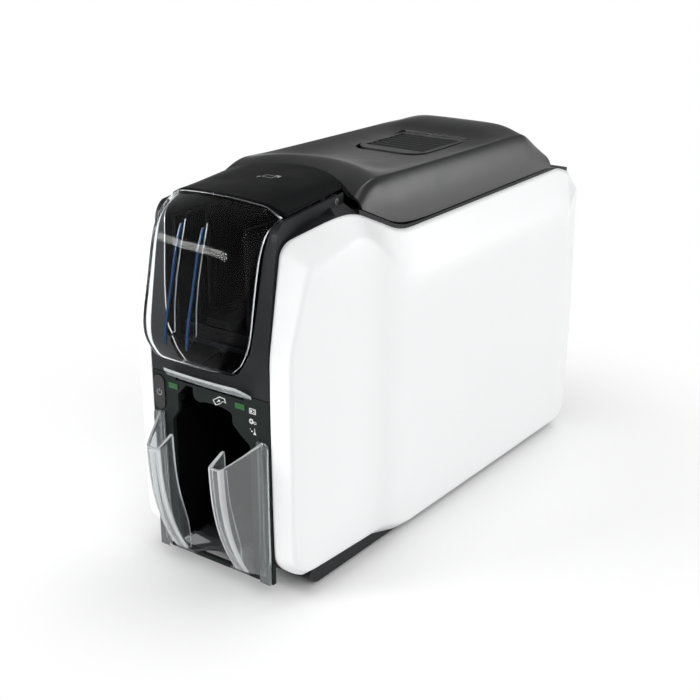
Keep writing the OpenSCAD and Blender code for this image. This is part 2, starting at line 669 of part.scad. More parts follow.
module lid_latch_hook() {
    color("#2a2c2e") difference() {
        union() {
            bar_x(5, -latch_half + 0.3, latch_half - 0.3, latch_pivot_y, latch_pivot_z);
            slab_x(-latch_half + 4, 2 * latch_half - 8) polygon([
                [latch_pivot_y - 3, latch_pivot_z], [latch_pivot_y - 3, catch_z - 1],
                [latch_pivot_y - 8, catch_z - 1],
                [latch_pivot_y - 8, hook_low - 3], [latch_pivot_y, hook_low - 5],
                [latch_pivot_y + 3, hook_low], [latch_pivot_y + 3, latch_pivot_z]]);
            // Finger that the button's rods push
            slab_x(-12, 24) polygon([[latch_pivot_y - 2, latch_pivot_z], [latch_pivot_y + 3, latch_pivot_z],
                [latch_pivot_y + 3, rod_z + 2], [latch_pivot_y, rod_z + 2]]);
        }
        bar_x(pin_r + run_gap, -latch_half - 1, latch_half + 1, latch_pivot_y, latch_pivot_z);
    }
}
module lid_latch_pin() {
    color("silver") bar_x(pin_r, -latch_half - 4, latch_half + 4, latch_pivot_y, latch_pivot_z);
}
module lid_hinge_pin() {
    color("silver") bar_x(pin_r, -knuckle_half - 7, knuckle_half + 7, lid_pivot_y, lid_pivot_z);
}
head_half = 29;
head_low = path_z + 1.6;
module head_bracket() {
    front = platen_y - 15;
    rear = platen_y + 5;
    low = 190;
    color("#3b3e41") difference() {
        union() {
            both() box([head_half - 3, front, low], [head_half, rear, pocket_z - 2]);
            box([-head_half, front, low], [head_half, rear, low + 4]);
            both() box([head_half, front + 4, pocket_z - 4.1], [head_half + 4, rear - 2, pocket_z - 2.05]);
        }
        both() bar_z(1.6, low - 1, low + 5, 20, platen_y - 3);
    }
}
module print_head() {
    color("#b9bcbf") union() {
        slab_x(-head_half + 1, 2 * head_half - 2) polygon([[platen_y - 13, 189.8], [platen_y - 13, 176],
            [platen_y - 4, head_low + 4], [platen_y - 2, head_low], [platen_y + 2, head_low],
            [platen_y + 4, head_low + 4], [platen_y + 8, 176], [platen_y + 8, 189.8]]);
        both() bar_z(1.5, 188, 194, 20, platen_y - 3);
    }
}

// ---------- deck frame under the lid ----------
deck_gap = 0.6;
deck_front = 77;
deck_foot_y = 180;
deck_in = top_half - 7;
module deck_frame() {
    ys = [for (y = [deck_front:8:lid_pivot_y + 8]) y];
    lip = lid_low_gap - deck_gap;
    color("#141517") {
        both() slab_x(deck_in, top_half - deck_in - 0.4) polygon(concat(
            [for (y = ys) [y, panel_top(y) + lip]],
            back([for (y = ys) [y, panel_top(y) - 9]])));
        box([-top_half + 0.4, deck_front, panel_top(deck_front) - 9],
            [top_half - 0.4, deck_front + 2, 238]);
        box([-top_half + 0.4, lid_pivot_y + 6, deck_z - wall - 6],
            [top_half - 0.4, lid_pivot_y + 8, deck_z - wall]);
        both() box([chassis_in - 3, deck_foot_y, chassis_top],
            [deck_in + 1, deck_foot_y + 20, chassis_top + 2.5]);
        both() box([deck_in, deck_foot_y, chassis_top], [deck_in + 2, deck_foot_y + 20, 218]);
    }
}

// ---------- rear ----------
deck_z = 223;
module rear_panel() {
    y0 = rear_y0;
    color("#1a1b1d") difference() {
        union() {
            box([-base_half, y0, floor_z + 0.1], [base_half, y0 + wall, deck_z]);
            box([-base_half, lid_pivot_y + 10, deck_z - wall], [base_half, y0 + wall, deck_z]);
            both() box([knuckle_half + 1.5, lid_pivot_y - 5, deck_z - wall],
                [knuckle_half + 6, lid_pivot_y + 12, lid_pivot_z]);
            both() bar_x(4.5, knuckle_half + 1.5, knuckle_half + 6, lid_pivot_y, lid_pivot_z);
        }
        both() bar_x(pin_r, knuckle_half, knuckle_half + 8, lid_pivot_y, lid_pivot_z);
        slab_y(y0 - 1, wall + 2) translate([inlet_x, port_z]) circle(inlet_r + 0.3, $fn = 64);
        slab_y(y0 - 1, wall + 2) translate([usb_x, port_z]) square([usb_w + 0.4, usb_h + 0.4], center = true);
        slab_y(y0 - 1, wall + 2) translate([net_x, port_z]) square([net_w + 0.4, net_h + 0.4], center = true);
        slab_y(y0 - 1, wall + 2) translate([lock_x, port_z + 40]) square([7, 3], center = true);
        for (i = [0:6]) slab_y(y0 - 1, wall + 2) translate([10, 120 + i * 8]) square([60, 3], center = true);
    }
}
port_z = 45;
inlet_x = 23.4 - base_half;
inlet_r = 7;
usb_x = -12;
usb_w = 12;
usb_h = 11;
net_x = 16;
net_w = 16;
net_h = 13.5;
lock_x = 40;
port_depth = 16;
port_y = rear_y0 + wall;
module power_inlet() {
    color("#141414") difference() {
        bar_y(inlet_r, port_y - port_depth, port_y, inlet_x, port_z);
        bar_y(inlet_r - 2, port_y - 10, port_y + 1, inlet_x, port_z);
    }
    color("silver") bar_y(1, port_y - 11, port_y - 2, inlet_x, port_z);
}
module usb_port() {
    color("#c0c3c6") difference() {
        box([usb_x - usb_w / 2, port_y - port_depth, port_z - usb_h / 2],
            [usb_x + usb_w / 2, port_y, port_z + usb_h / 2]);
        box([usb_x - usb_w / 2 + 0.6, port_y - 9, port_z - usb_h / 2 + 0.6],
            [usb_x + usb_w / 2 - 0.6, port_y + 1, port_z + usb_h / 2 - 0.6]);
    }
    color("#f2f2f2") box([usb_x - 2.8, port_y - 10, port_z - 1.6], [usb_x + 2.8, port_y - 1.5, port_z + 1.6]);
}
module network_port() {
    color("#c0c3c6") difference() {
        box([net_x - net_w / 2, port_y - port_depth, port_z - net_h / 2],
            [net_x + net_w / 2, port_y, port_z + net_h / 2]);
        box([net_x - 6, port_y - 11, port_z - 4.5], [net_x + 6, port_y + 1, port_z + 4]);
        box([net_x - 3, port_y - 11, port_z - 5.6], [net_x + 3, port_y + 1, port_z - 4]);
    }
}

// ---------- chassis and rollers ----------
chassis_in = chassis_w / 2 - chassis_t;
chassis_front = 16;
chassis_rear = base_rear - base_t - 0.2;
chassis_top = 200;
board_front = 120;
board_rear = chassis_rear - 35;
board_low = 30;
board_top = 112;
pick_y = 55;
front_y = 125;
rear_y = 285;
clean_y = 101;
takeup_y = 160;
supply_y = 250;
ribbon_z = 180;
low_z = path_z - roller_r;
platen_z = path_z - platen_r;
pinch_z = path_z + 0.9 + pinch_r;
pick_z = stack_z - pick_r;
clean_z = path_z + 0.9 + pinch_r;
idle_r = shaft_r + run_gap;
module chassis_plate() {
    difference() {
        slab_x(chassis_in, chassis_t) polygon([[chassis_front, sill_z], [sill_y, sill_z],
            [sill_y, floor_z], [chassis_rear, floor_z], [chassis_rear, chassis_top],
            [94, chassis_top], [94, tray_floor_z], [chassis_front, tray_floor_z]]);
        for (s = shafts) bar_x(idle_r, chassis_in - 1, chassis_in + 3, s[0], s[1]);
        bar_x(motor_shaft_r + run_gap, chassis_in - 1, chassis_in + 3, motor_y, motor_z);
        for (y = [takeup_y, supply_y]) {
            bar_x(idle_r, chassis_in - 1, chassis_in + 3, y, ribbon_z);
            box([chassis_in - 1, y - idle_r, ribbon_z], [chassis_in + 3, y + idle_r, chassis_top + 1]);
        }
        slab_x(chassis_in - 1, chassis_t + 2) polygon(rounded([[board_front + 20, 24],
            [board_rear - 20, 24], [board_rear - 20, 70], [board_front + 20, 70]], [12, 12, 12, 12], 4));
    }
}
module chassis_right() { color("#a9adb0") chassis_plate(); }
module chassis_left() { color("#a9adb0") mirror([1, 0, 0]) chassis_plate(); }
bars = [[110, path_z - 18], [chassis_rear - 25, 160], [chassis_rear - 25, 60]];
bar_r = 4;
module cross_bars() {
    color("#b5b8ba") for (b = bars) bar_x(bar_r, -chassis_in, chassis_in, b[0], b[1]);
}
module latch_bar() {
    color("#a9adb0") {
        box([-chassis_in, catch_y - 12, catch_z - 1], [chassis_in, catch_y, catch_z + 1]);
        both() box([chassis_in - 2, catch_y - 12, chassis_top - 12], [chassis_in, catch_y, catch_z + 1]);
    }
}
module roller(r, half, y, z, tone, reach) {
    color(tone) bar_x(r, -half, half, y, z);
    color("#c4c6c8") bar_x(shaft_r, -chassis_in - chassis_t, reach, y, z);
}
gear_x0 = chassis_w / 2 + 1;
gear_t = 4;
gear_reach = gear_x0 + gear_t + 0.5;
module spur_gear(r, teeth, y, z, turn) {
    translate([gear_x0, y, z]) rotate([90, 0, 90]) rotate([0, 0, turn]) {
        linear_extrude(gear_t) polygon([for (i = [0:teeth - 1]) let (a = 360 / teeth)
            each [for (q = [[-0.3, -0.9], [-0.12, 0.9], [0.12, 0.9], [0.3, -0.9]])
                (r + q[1]) * [cos(a * (i + q[0])), sin(a * (i + q[0]))]]]);
    }
}
module platen_roller() {
    roller(platen_r, tray_half + 1, platen_y, platen_z, "#2a2a2a", gear_reach);
    color("#e8e6df") spur_gear(platen_gear_r, platen_teeth, platen_y, platen_z, platen_turn);
    pulley(platen_r, platen_y, platen_z);
}
module pick_roller() { roller(pick_r, 16, pick_y, pick_z, "#3c3c3c", chassis_in + chassis_t); }
module transport_roller(y) {
    roller(roller_r, tray_half, y, low_z, "#3a3a3a", chassis_in + chassis_t);
    pulley(roller_r, y, low_z);
}
module front_transport_roller() { transport_roller(front_y); }
module rear_transport_roller() { transport_roller(rear_y); }
module front_pinch_roller() { roller(pinch_r, 22, front_y, pinch_z, "#cfcfcf", chassis_in + chassis_t); }
module rear_pinch_roller() { roller(pinch_r, 22, rear_y, pinch_z, "#cfcfcf", chassis_in + chassis_t); }
module cleaning_roller() {
    roller(pinch_r, tray_half - 1, clean_y, clean_z, "#3a78b8", chassis_in + chassis_t);
}

// ---------- ribbon ----------
cartridge_half = 38;
cartridge_t = 2;
module ribbon_cartridge() {
    rail_z = 188;
    color("#d8dde0") difference() {
        union() {
            both() slab_x(cartridge_half - cartridge_t, cartridge_t) polygon(rounded([
                [takeup_y - 13, 168], [supply_y + 13, 168], [supply_y + 13, 196], [takeup_y - 13, 196]],
                [6, 6, 6, 6], 4));
            box([-cartridge_half, supply_y + 16, rail_z], [cartridge_half, supply_y + 19, rail_z + 6]);
            box([-cartridge_half, takeup_y - 19, rail_z], [cartridge_half, takeup_y - 16, rail_z + 6]);
            both() box([cartridge_half - cartridge_t, supply_y + 8, rail_z],
                [cartridge_half, supply_y + 19, rail_z + 6]);
            both() box([cartridge_half - cartridge_t, takeup_y - 19, rail_z],
                [cartridge_half, takeup_y - 8, rail_z + 6]);
        }
        for (y = [takeup_y, supply_y]) both()
            bar_x(idle_r, cartridge_half - 3, cartridge_half + 1, y, ribbon_z);
        both() slab_x(cartridge_half - 3, 4) polygon(rounded([[takeup_y + 16, 173], [supply_y - 20, 173],
            [supply_y - 20, 190], [takeup_y + 16, 190]], [4, 4, 4, 4], 4));
    }
}
module ribbon_spool(r, y, tone) {
    color("#e9ebec") {
        bar_x(core_r, -cartridge_half + 2.6, cartridge_half - 2.6, y, ribbon_z);
        bar_x(shaft_r, -chassis_in - chassis_t, chassis_in + chassis_t, y, ribbon_z);
    }
    color(tone) bar_x(r, -tray_half, tray_half, y, ribbon_z);
}
module ribbon_supply_spool() { ribbon_spool(ribbon_r, supply_y, "#202a50"); }
takeup_r = core_r + 2;
module ribbon_takeup_spool() {
    ribbon_spool(takeup_r, takeup_y, "#202a50");
    color("#e9ebec") {
        spur_gear(gear_r(takeup_teeth), takeup_teeth, takeup_y, ribbon_z, ribbon_dir);
        bar_x(shaft_r, chassis_in, gear_x0 + 1, takeup_y, ribbon_z);
    }
}
film_t = 0.3;
film_room = 0.1;
// Point where the line from p touches the circle of radius r round c, on its lower side
function touch(p, c, r, side) = let (d = norm(c - p),
    a = atan2(c[1] - p[1], c[0] - p[0]) + side * asin(r / d)) p + sqrt(d * d - r * r) * [cos(a), sin(a)];
function film_line(low, room) = let (a = [platen_y - 8, low], b = [platen_y + 8, low]) [
    touch(a, [takeup_y, ribbon_z], takeup_r + room, 1), a, b,
    touch(b, [supply_y, ribbon_z], ribbon_r + room, -1)];
module ribbon_film() {
    low = path_z + 1.1;
    color("#28356a") slab_x(-tray_half + 1, 2 * tray_half - 2)
        polygon(concat(film_line(low, film_room + film_t), back(film_line(low + film_t, film_room))));
}

// ---------- drive ----------
tooth_pitch = PI;
platen_teeth = 28;
idler_teeth = 40;
pinion_teeth = 12;
takeup_teeth = 24;
function gear_r(teeth) = teeth * tooth_pitch / (2 * PI);
platen_gear_r = gear_r(platen_teeth);
idler_gear_r = gear_r(idler_teeth);
pinion_r = gear_r(pinion_teeth);
mesh_gap = 0.25;
idler_dir = -40;
motor_dir = -50;
// Turn of the next gear so that its gap meets the last gear's tooth
function next_turn(turn, teeth, dir, next_teeth) = let (pitch = 360 / teeth,
    rest = (dir - turn) - pitch * floor((dir - turn) / pitch)) dir + 180 + (rest * teeth + 180) / next_teeth;
platen_turn = idler_dir;
idler_turn = next_turn(platen_turn, platen_teeth, idler_dir, idler_teeth);
pinion_turn = next_turn(idler_turn, idler_teeth, motor_dir, pinion_teeth);
idler_y = platen_y + (platen_gear_r + idler_gear_r + mesh_gap) * cos(idler_dir);
idler_z = platen_z + (platen_gear_r + idler_gear_r + mesh_gap) * sin(idler_dir);
motor_y = idler_y + (idler_gear_r + pinion_r + mesh_gap) * cos(motor_dir);
motor_z = idler_z + (idler_gear_r + pinion_r + mesh_gap) * sin(motor_dir);
motor_shaft_r = 2;
ribbon_dir = -120;
ribbon_motor_y = takeup_y + (gear_r(takeup_teeth) + pinion_r + mesh_gap) * cos(ribbon_dir);
ribbon_motor_z = ribbon_z + (gear_r(takeup_teeth) + pinion_r + mesh_gap) * sin(ribbon_dir);
shafts = [[platen_y, platen_z], [pick_y, pick_z], [front_y, low_z], [rear_y, low_z],
          [front_y, pinch_z], [rear_y, pinch_z], [clean_y, clean_z], [idler_y, idler_z]];
module ribbon_pinion() {
    color("#d8c070") {
        spur_gear(pinion_r, pinion_teeth, ribbon_motor_y, ribbon_motor_z,
            next_turn(ribbon_dir, takeup_teeth, ribbon_dir, pinion_teeth));
        bar_x(motor_shaft_r, gear_x0, gear_x0 + gear_t + 1.4, ribbon_motor_y, ribbon_motor_z);
    }
}
module ribbon_motor() {
    x0 = gear_x0 + gear_t + 1.5;
    can_l = half_w - wall - 5.5 - x0;
    legs = [[-13, -4], [0, -13]];
    color("#8d9194") {
        bar_x(9, x0, x0 + can_l, ribbon_motor_y, ribbon_motor_z);
        slab_x(x0, 1.5) translate([ribbon_motor_y, ribbon_motor_z])
            polygon([[-16, -7], [-3, -16], [8, -12], [8, 6], [-8, 8], [-16, 0]]);
        for (p = legs)
            bar_x(1.8, chassis_w / 2 + 0.05, x0 + 0.5, ribbon_motor_y + p[0], ribbon_motor_z + p[1]);
    }
}
belt_x0 = -gear_x0 - gear_t;
belt_rows = [[front_y, low_z, roller_r], [platen_y, platen_z, platen_r], [rear_y, low_z, roller_r]];
module belt_outline(grow) {
    for (b = belt_rows) translate([b[0], b[1]]) circle(b[2] + grow, $fn = 48);
    polygon(concat([for (b = belt_rows) [b[0], b[1] - b[2] - grow]],
        [[rear_y, path_z + grow], [front_y, path_z + grow]]));
}
module drive_belt() {
    color("#1c1c1c") slab_x(belt_x0 + 0.5, gear_t - 1) difference() {
        belt_outline(1.3);
        belt_outline(0.1);
    }
}
module pulley(r, y, z) {
    color("#e8e6df") bar_x(r, belt_x0, -gear_x0, y, z);
    color("#c4c6c8") bar_x(shaft_r, belt_x0 - 1, -chassis_in, y, z);
}
motor_r = 18;
motor_l = 30;
module idler_gear() {
    color("#e8e6df") {
        spur_gear(idler_gear_r, idler_teeth, idler_y, idler_z, idler_turn);
        bar_x(shaft_r, chassis_in + 0.1, gear_reach, idler_y, idler_z);
    }
}
module drive_motor() {
    flange = motor_r + 3;
    color("#8d9194") {
        bar_x(motor_r, chassis_in - motor_l, chassis_in - 0.1, motor_y, motor_z);
        box([chassis_in - 2.5, motor_y - flange, motor_z - flange],
            [chassis_in - 0.1, motor_y + flange, motor_z + flange]);
    }
}
module motor_pinion() {
    color("#d8c070") {
        spur_gear(pinion_r, pinion_teeth, motor_y, motor_z, pinion_turn);
        bar_x(motor_shaft_r, chassis_in, gear_reach, motor_y, motor_z);
    }
}
module circuit_board() {
    pitch = (board_rear - board_front - 10) / 5;
    color("#1f6b3a") translate([-chassis_in + 3, 0, 0]) {
        box([0, board_front, board_low], [1.6, board_rear, board_top]);
        for (i = [0:4]) box([1.5, board_front + 10 + i * pitch, 50], [5, board_front + 28 + i * pitch, 66]);
        for (i = [0:2]) bar_x(5, 1.5, 13, board_front + 40 + i * 1.3 * pitch, 92);
        for (y = [board_front + 4, board_rear - 4], z = [board_low + 4, board_top - 4])
            bar_x(2.5, -3, 0.1, y, z);
    }
}
module panel_screws() {
    color("#8a8d90") for (x = [-base_half + 8, base_half - 8], z = [20, 190])
        bar_y(3, rear_y0 + wall, rear_y0 + wall + 1.6, x, z);
}

place() side_panel_left();
place() side_panel_right();
place() base_pan();
place() rubber_feet();
place() front_frame();
place() lower_front_plate();
place() manual_feed_visor();
place() power_button();
place() power_button_spring();
place() status_light_guides();
place() output_bin();
place() output_well();
place() hopper_door();
place() hopper_window();
place() window_guide_ribs();
place() door_hinge_pins();
place() hopper_tray();
place() card_weight();
place() card_chute();
place() lid_cover();
place() lid_release_button();
place() release_spring();
place() lid_latch_hook();
place() lid_latch_pin();
place() lid_hinge_pin();
place() head_bracket();
place() print_head();
place() deck_frame();
place() rear_panel();
place() power_inlet();
place() usb_port();
place() network_port();
place() chassis_left();
place() chassis_right();
place() cross_bars();
place() latch_bar();
place() platen_roller();
place() pick_roller();
place() front_transport_roller();
place() rear_transport_roller();
place() front_pinch_roller();
place() rear_pinch_roller();
place() cleaning_roller();
place() ribbon_cartridge();
place() ribbon_supply_spool();
place() ribbon_takeup_spool();
place() ribbon_film();
place() ribbon_motor();
place() ribbon_pinion();
place() drive_motor();
place() motor_pinion();
place() idler_gear();
place() drive_belt();
place() circuit_board();
place() panel_screws();
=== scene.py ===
"""Blender scene of the id card printer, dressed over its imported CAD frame."""
import json
import math

import bmesh
import bpy
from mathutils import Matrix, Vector


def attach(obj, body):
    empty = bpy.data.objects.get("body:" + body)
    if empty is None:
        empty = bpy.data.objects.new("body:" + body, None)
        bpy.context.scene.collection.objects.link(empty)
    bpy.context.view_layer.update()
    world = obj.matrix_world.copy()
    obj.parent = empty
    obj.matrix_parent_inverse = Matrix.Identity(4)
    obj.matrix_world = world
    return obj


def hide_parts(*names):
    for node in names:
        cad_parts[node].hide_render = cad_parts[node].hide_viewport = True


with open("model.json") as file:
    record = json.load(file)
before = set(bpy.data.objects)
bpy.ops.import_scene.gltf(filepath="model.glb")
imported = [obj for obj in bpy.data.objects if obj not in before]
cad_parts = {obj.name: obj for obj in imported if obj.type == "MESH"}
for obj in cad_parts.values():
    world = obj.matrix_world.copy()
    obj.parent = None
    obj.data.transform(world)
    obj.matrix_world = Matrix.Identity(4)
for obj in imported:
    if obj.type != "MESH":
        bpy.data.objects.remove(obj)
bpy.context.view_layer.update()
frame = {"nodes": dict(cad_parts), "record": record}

NODES = frame["nodes"]
FACE_Y = 172.0            # distance of the front frame's face before the origin, mm


def at(x, y, z):
    """A point given in the printer's own millimetres: y runs from the front face to the rear."""
    return Vector((x / 1000, (y - FACE_Y) / 1000, z / 1000))


# ---------- small maths, the same curves as the solids ----------
def lerp(a, b, t):
    """The value t of the way from a to b."""
    return a + (b - a) * t


def ease(t):
    """Smooth step: 0 below 0, 1 above 1."""
    u = max(0.0, min(1.0, t))
    return u * u * (3 - 2 * u)


def unit(v):
    """The vector v at length 1."""
    n = math.hypot(*v)
    return (v[0] / n, v[1] / n)


def fillet(a, b, c, r, n):
    """Points of the arc that rounds corner b between a and c."""
    u = unit((a[0] - b[0], a[1] - b[1]))
    v = unit((c[0] - b[0], c[1] - b[1]))
    half = math.acos(max(-1, min(1, u[0] * v[0] + u[1] * v[1]))) / 2
    w = unit((u[0] + v[0], u[1] + v[1]))
    m = (b[0] + w[0] * r / math.sin(half), b[1] + w[1] * r / math.sin(half))
    s = (b[0] + u[0] * r / math.tan(half) - m[0], b[1] + u[1] * r / math.tan(half) - m[1])
    turn = (math.pi - 2 * half) * (-1 if u[0] * v[1] - u[1] * v[0] > 0 else 1)
    out = []
    for i in range(n + 1):
        q = turn * i / n
        out.append((m[0] + s[0] * math.cos(q) - s[1] * math.sin(q),
                    m[1] + s[0] * math.sin(q) + s[1] * math.cos(q)))
    return out


def rounded(points, radii, n):
    """The closed outline with each corner rounded by its radius, in n steps."""
    out = []
    for i, p in enumerate(points):
        if radii[i] == 0:
            out.append(p)
        else:
            out += fillet(points[i - 1], p, points[(i + 1) % len(points)], radii[i], n)
    return out


def circle(cx, cy, r, n=48):
    """n points of a circle."""
    return [(cx + r * math.cos(2 * math.pi * i / n), cy + r * math.sin(2 * math.pi * i / n))
            for i in range(n)]


def arc(cx, cy, r, start, stop, step=12):
    """Points of an arc from start to stop, in degrees."""
    return [(cx + r * math.cos(math.radians(a)), cy + r * math.sin(math.radians(a)))
            for a in range(start, stop, step)]


# ---------- materials ----------
def new_material(name):
    """An empty node material: itself, its node tree and its Principled shader."""
    m = bpy.data.materials.new(name)
    m.use_nodes = True
    nt = m.node_tree
    nt.nodes.clear()
    out = nt.nodes.new("ShaderNodeOutputMaterial")
    bsdf = nt.nodes.new("ShaderNodeBsdfPrincipled")
    nt.links.new(bsdf.outputs[0], out.inputs[0])
    return m, nt, bsdf


def noise(nt, scale, detail=3.0, rough=0.5, stretch=(1, 1, 1)):
    """Noise over the object's own coordinates, in features per metre."""
    co = nt.nodes.new("ShaderNodeTexCoord")
    mp = nt.nodes.new("ShaderNodeMapping")
    mp.inputs["Scale"].default_value = stretch
    tx = nt.nodes.new("ShaderNodeTexNoise")
    tx.inputs["Scale"].default_value = scale
    tx.inputs["Detail"].default_value = detail
    tx.inputs["Roughness"].default_value = rough
    nt.links.new(co.outputs["Object"], mp.inputs[0])
    nt.links.new(mp.outputs[0], tx.inputs["Vector"])
    return tx.outputs["Fac"]


def map_range(nt, value, start, end, low, high, kind="LINEAR"):
    """Low where value is start, high where it is end, and blended in between."""
    r = nt.nodes.new("ShaderNodeMapRange")
    r.interpolation_type = kind
    r.inputs["From Min"].default_value = start
    r.inputs["From Max"].default_value = end
    r.inputs["To Min"].default_value = low
    r.inputs["To Max"].default_value = high
    nt.links.new(value, r.inputs["Value"])
    return r.outputs[0]


def remap(nt, value, low, high):
    """Stretches a noise value, which is mostly within 0.3 and 0.7, to run from low to high."""
    return map_range(nt, value, 0.3, 0.7, low, high)


def coordinate(nt, space, axis):
    """One axis of a texture coordinate."""
    co = nt.nodes.new("ShaderNodeTexCoord")
    axes = nt.nodes.new("ShaderNodeSeparateXYZ")
    nt.links.new(co.outputs[space], axes.inputs[0])
    return axes.outputs[axis]


def node_math(nt, operation, a, b):
    """The sum, product or the like of two values."""
    n = nt.nodes.new("ShaderNodeMath")
    n.operation = operation
    nt.links.new(a, n.inputs[0])
    nt.links.new(b, n.inputs[1])
    return n.outputs[0]


def blend_colours(nt, factor, a, b):
    """Colour a where factor is 0 and b where it is 1."""
    m = nt.nodes.new("ShaderNodeMix")
    m.data_type = "RGBA"
    m.inputs["A"].default_value = (*a, 1)
    m.inputs["B"].default_value = (*b, 1)
    nt.links.new(factor, m.inputs["Factor"])
    return m.outputs["Result"]


def add_bump(nt, bsdf, height, strength, distance):
    """Bump of the given height, with distance in metres."""
    b = nt.nodes.new("ShaderNodeBump")
    b.inputs["Strength"].default_value = strength
    b.inputs["Distance"].default_value = distance
    nt.links.new(height, b.inputs["Height"])
    nt.links.new(b.outputs[0], bsdf.inputs["Normal"])


def darker(c, f):
    """Colour c times f."""
    return tuple(v * f for v in c)


def moulded(name, colour, rough, grain=2600, grain_depth=0.00004, strength=0.12, coat=0.0, spec=0.5):
    """Moulded plastic: a fine spark-eroded grain, slightly uneven gloss and tone."""
    m, nt, b = new_material(name)
    tone = noise(nt, 9, 3)
    nt.links.new(blend_colours(nt, tone, darker(colour, 0.94), colour), b.inputs["Base Color"])
    nt.links.new(remap(nt, noise(nt, 45, 4), rough - 0.04, rough + 0.05), b.inputs["Roughness"])
    add_bump(nt, b, noise(nt, grain, 2, 0.6), strength, grain_depth)
    b.inputs["Coat Weight"].default_value = coat
    b.inputs["Coat Roughness"].default_value = 0.12
    b.inputs["Specular IOR Level"].default_value = spec
    return m


def rubber(name, colour, rough=0.75):
    """Matt rubber with an uneven tone and a fine pitted grain."""
    m, nt, b = new_material(name)
    nt.links.new(blend_colours(nt, noise(nt, 60, 4), darker(colour, 0.7), colour), b.inputs["Base Color"])
    nt.links.new(remap(nt, noise(nt, 300, 3), rough - 0.08, rough + 0.08), b.inputs["Roughness"])
    add_bump(nt, b, noise(nt, 4000, 2), 0.4, 0.00005)
    return m


def metal(name, colour, rough=0.3, stretch=(1, 1, 30)):
    """Brushed or drawn metal: long fine scratches and a slightly uneven gloss."""
    m, nt, b = new_material(name)
    b.inputs["Metallic"].default_value = 1.0
    nt.links.new(blend_colours(nt, noise(nt, 30, 3), darker(colour, 0.88), colour), b.inputs["Base Color"])
    nt.links.new(remap(nt, noise(nt, 200, 3, 0.6, stretch), rough - 0.08, rough + 0.1), b.inputs["Roughness"])
    add_bump(nt, b, noise(nt, 900, 2, 0.5, stretch), 0.15, 0.00003)
    return m


def clear(name, colour, rough=0.03, ior=1.46, milk=0.0):
    """Clear moulded plastic with a trace of dust on the gloss; milk is how much light it scatters."""
    m, nt, b = new_material(name)
    b.inputs["Transmission Weight"].default_value = 1.0 - milk
    b.inputs["IOR"].default_value = ior
    nt.links.new(blend_colours(nt, noise(nt, 14, 2), darker(colour, 0.98), colour), b.inputs["Base Color"])
    nt.links.new(remap(nt, noise(nt, 120, 3), rough, rough + 0.02), b.inputs["Roughness"])
    return m


def glowing(name, colour, strength):
    """Clear plastic over a lit lamp, with an uneven glow."""
    m, nt, b = new_material(name)
    tone = blend_colours(nt, noise(nt, 400, 2), darker(colour, 0.4), colour)
    nt.links.new(tone, b.inputs["Base Color"])
    nt.links.new(tone, b.inputs["Emission Color"])
    b.inputs["Emission Strength"].default_value = strength
    b.inputs["Roughness"].default_value = 0.15
    return m


PROUD_Y = (-0.117, -0.050)    # world y between which the panel's front part falls back, m
PROUD_DEPTH = 0.008


def panel_plastic(name, colour):
    """Smooth white moulding whose front part stands a little proud of the rest of the face."""
    m, nt, b = new_material(name)
    fall = map_range(nt, coordinate(nt, "Object", "Y"), *PROUD_Y, 1, 0, "SMOOTHERSTEP")
    add_bump(nt, b, fall, 1.0, PROUD_DEPTH)
    nt.links.new(blend_colours(nt, noise(nt, 5, 2), darker(colour, 0.985), colour), b.inputs["Base Color"])
    nt.links.new(remap(nt, noise(nt, 30, 2), 0.33, 0.37), b.inputs["Roughness"])
    return m


def board(name):
    """Solder mask: green with a dim pattern of tracks under it."""
    m, nt, b = new_material(name)
    co = nt.nodes.new("ShaderNodeTexCoord")
    tracks = nt.nodes.new("ShaderNodeTexBrick")
    tracks.inputs["Scale"].default_value = 140
    tracks.inputs["Color1"].default_value = (0.03, 0.20, 0.09, 1)
    tracks.inputs["Color2"].default_value = (0.035, 0.24, 0.11, 1)
    tracks.inputs["Mortar"].default_value = (0.02, 0.14, 0.06, 1)
    nt.links.new(co.outputs["Object"], tracks.inputs["Vector"])
    nt.links.new(tracks.outputs["Color"], b.inputs["Base Color"])
    nt.links.new(remap(nt, noise(nt, 200), 0.3, 0.45), b.inputs["Roughness"])
    return m


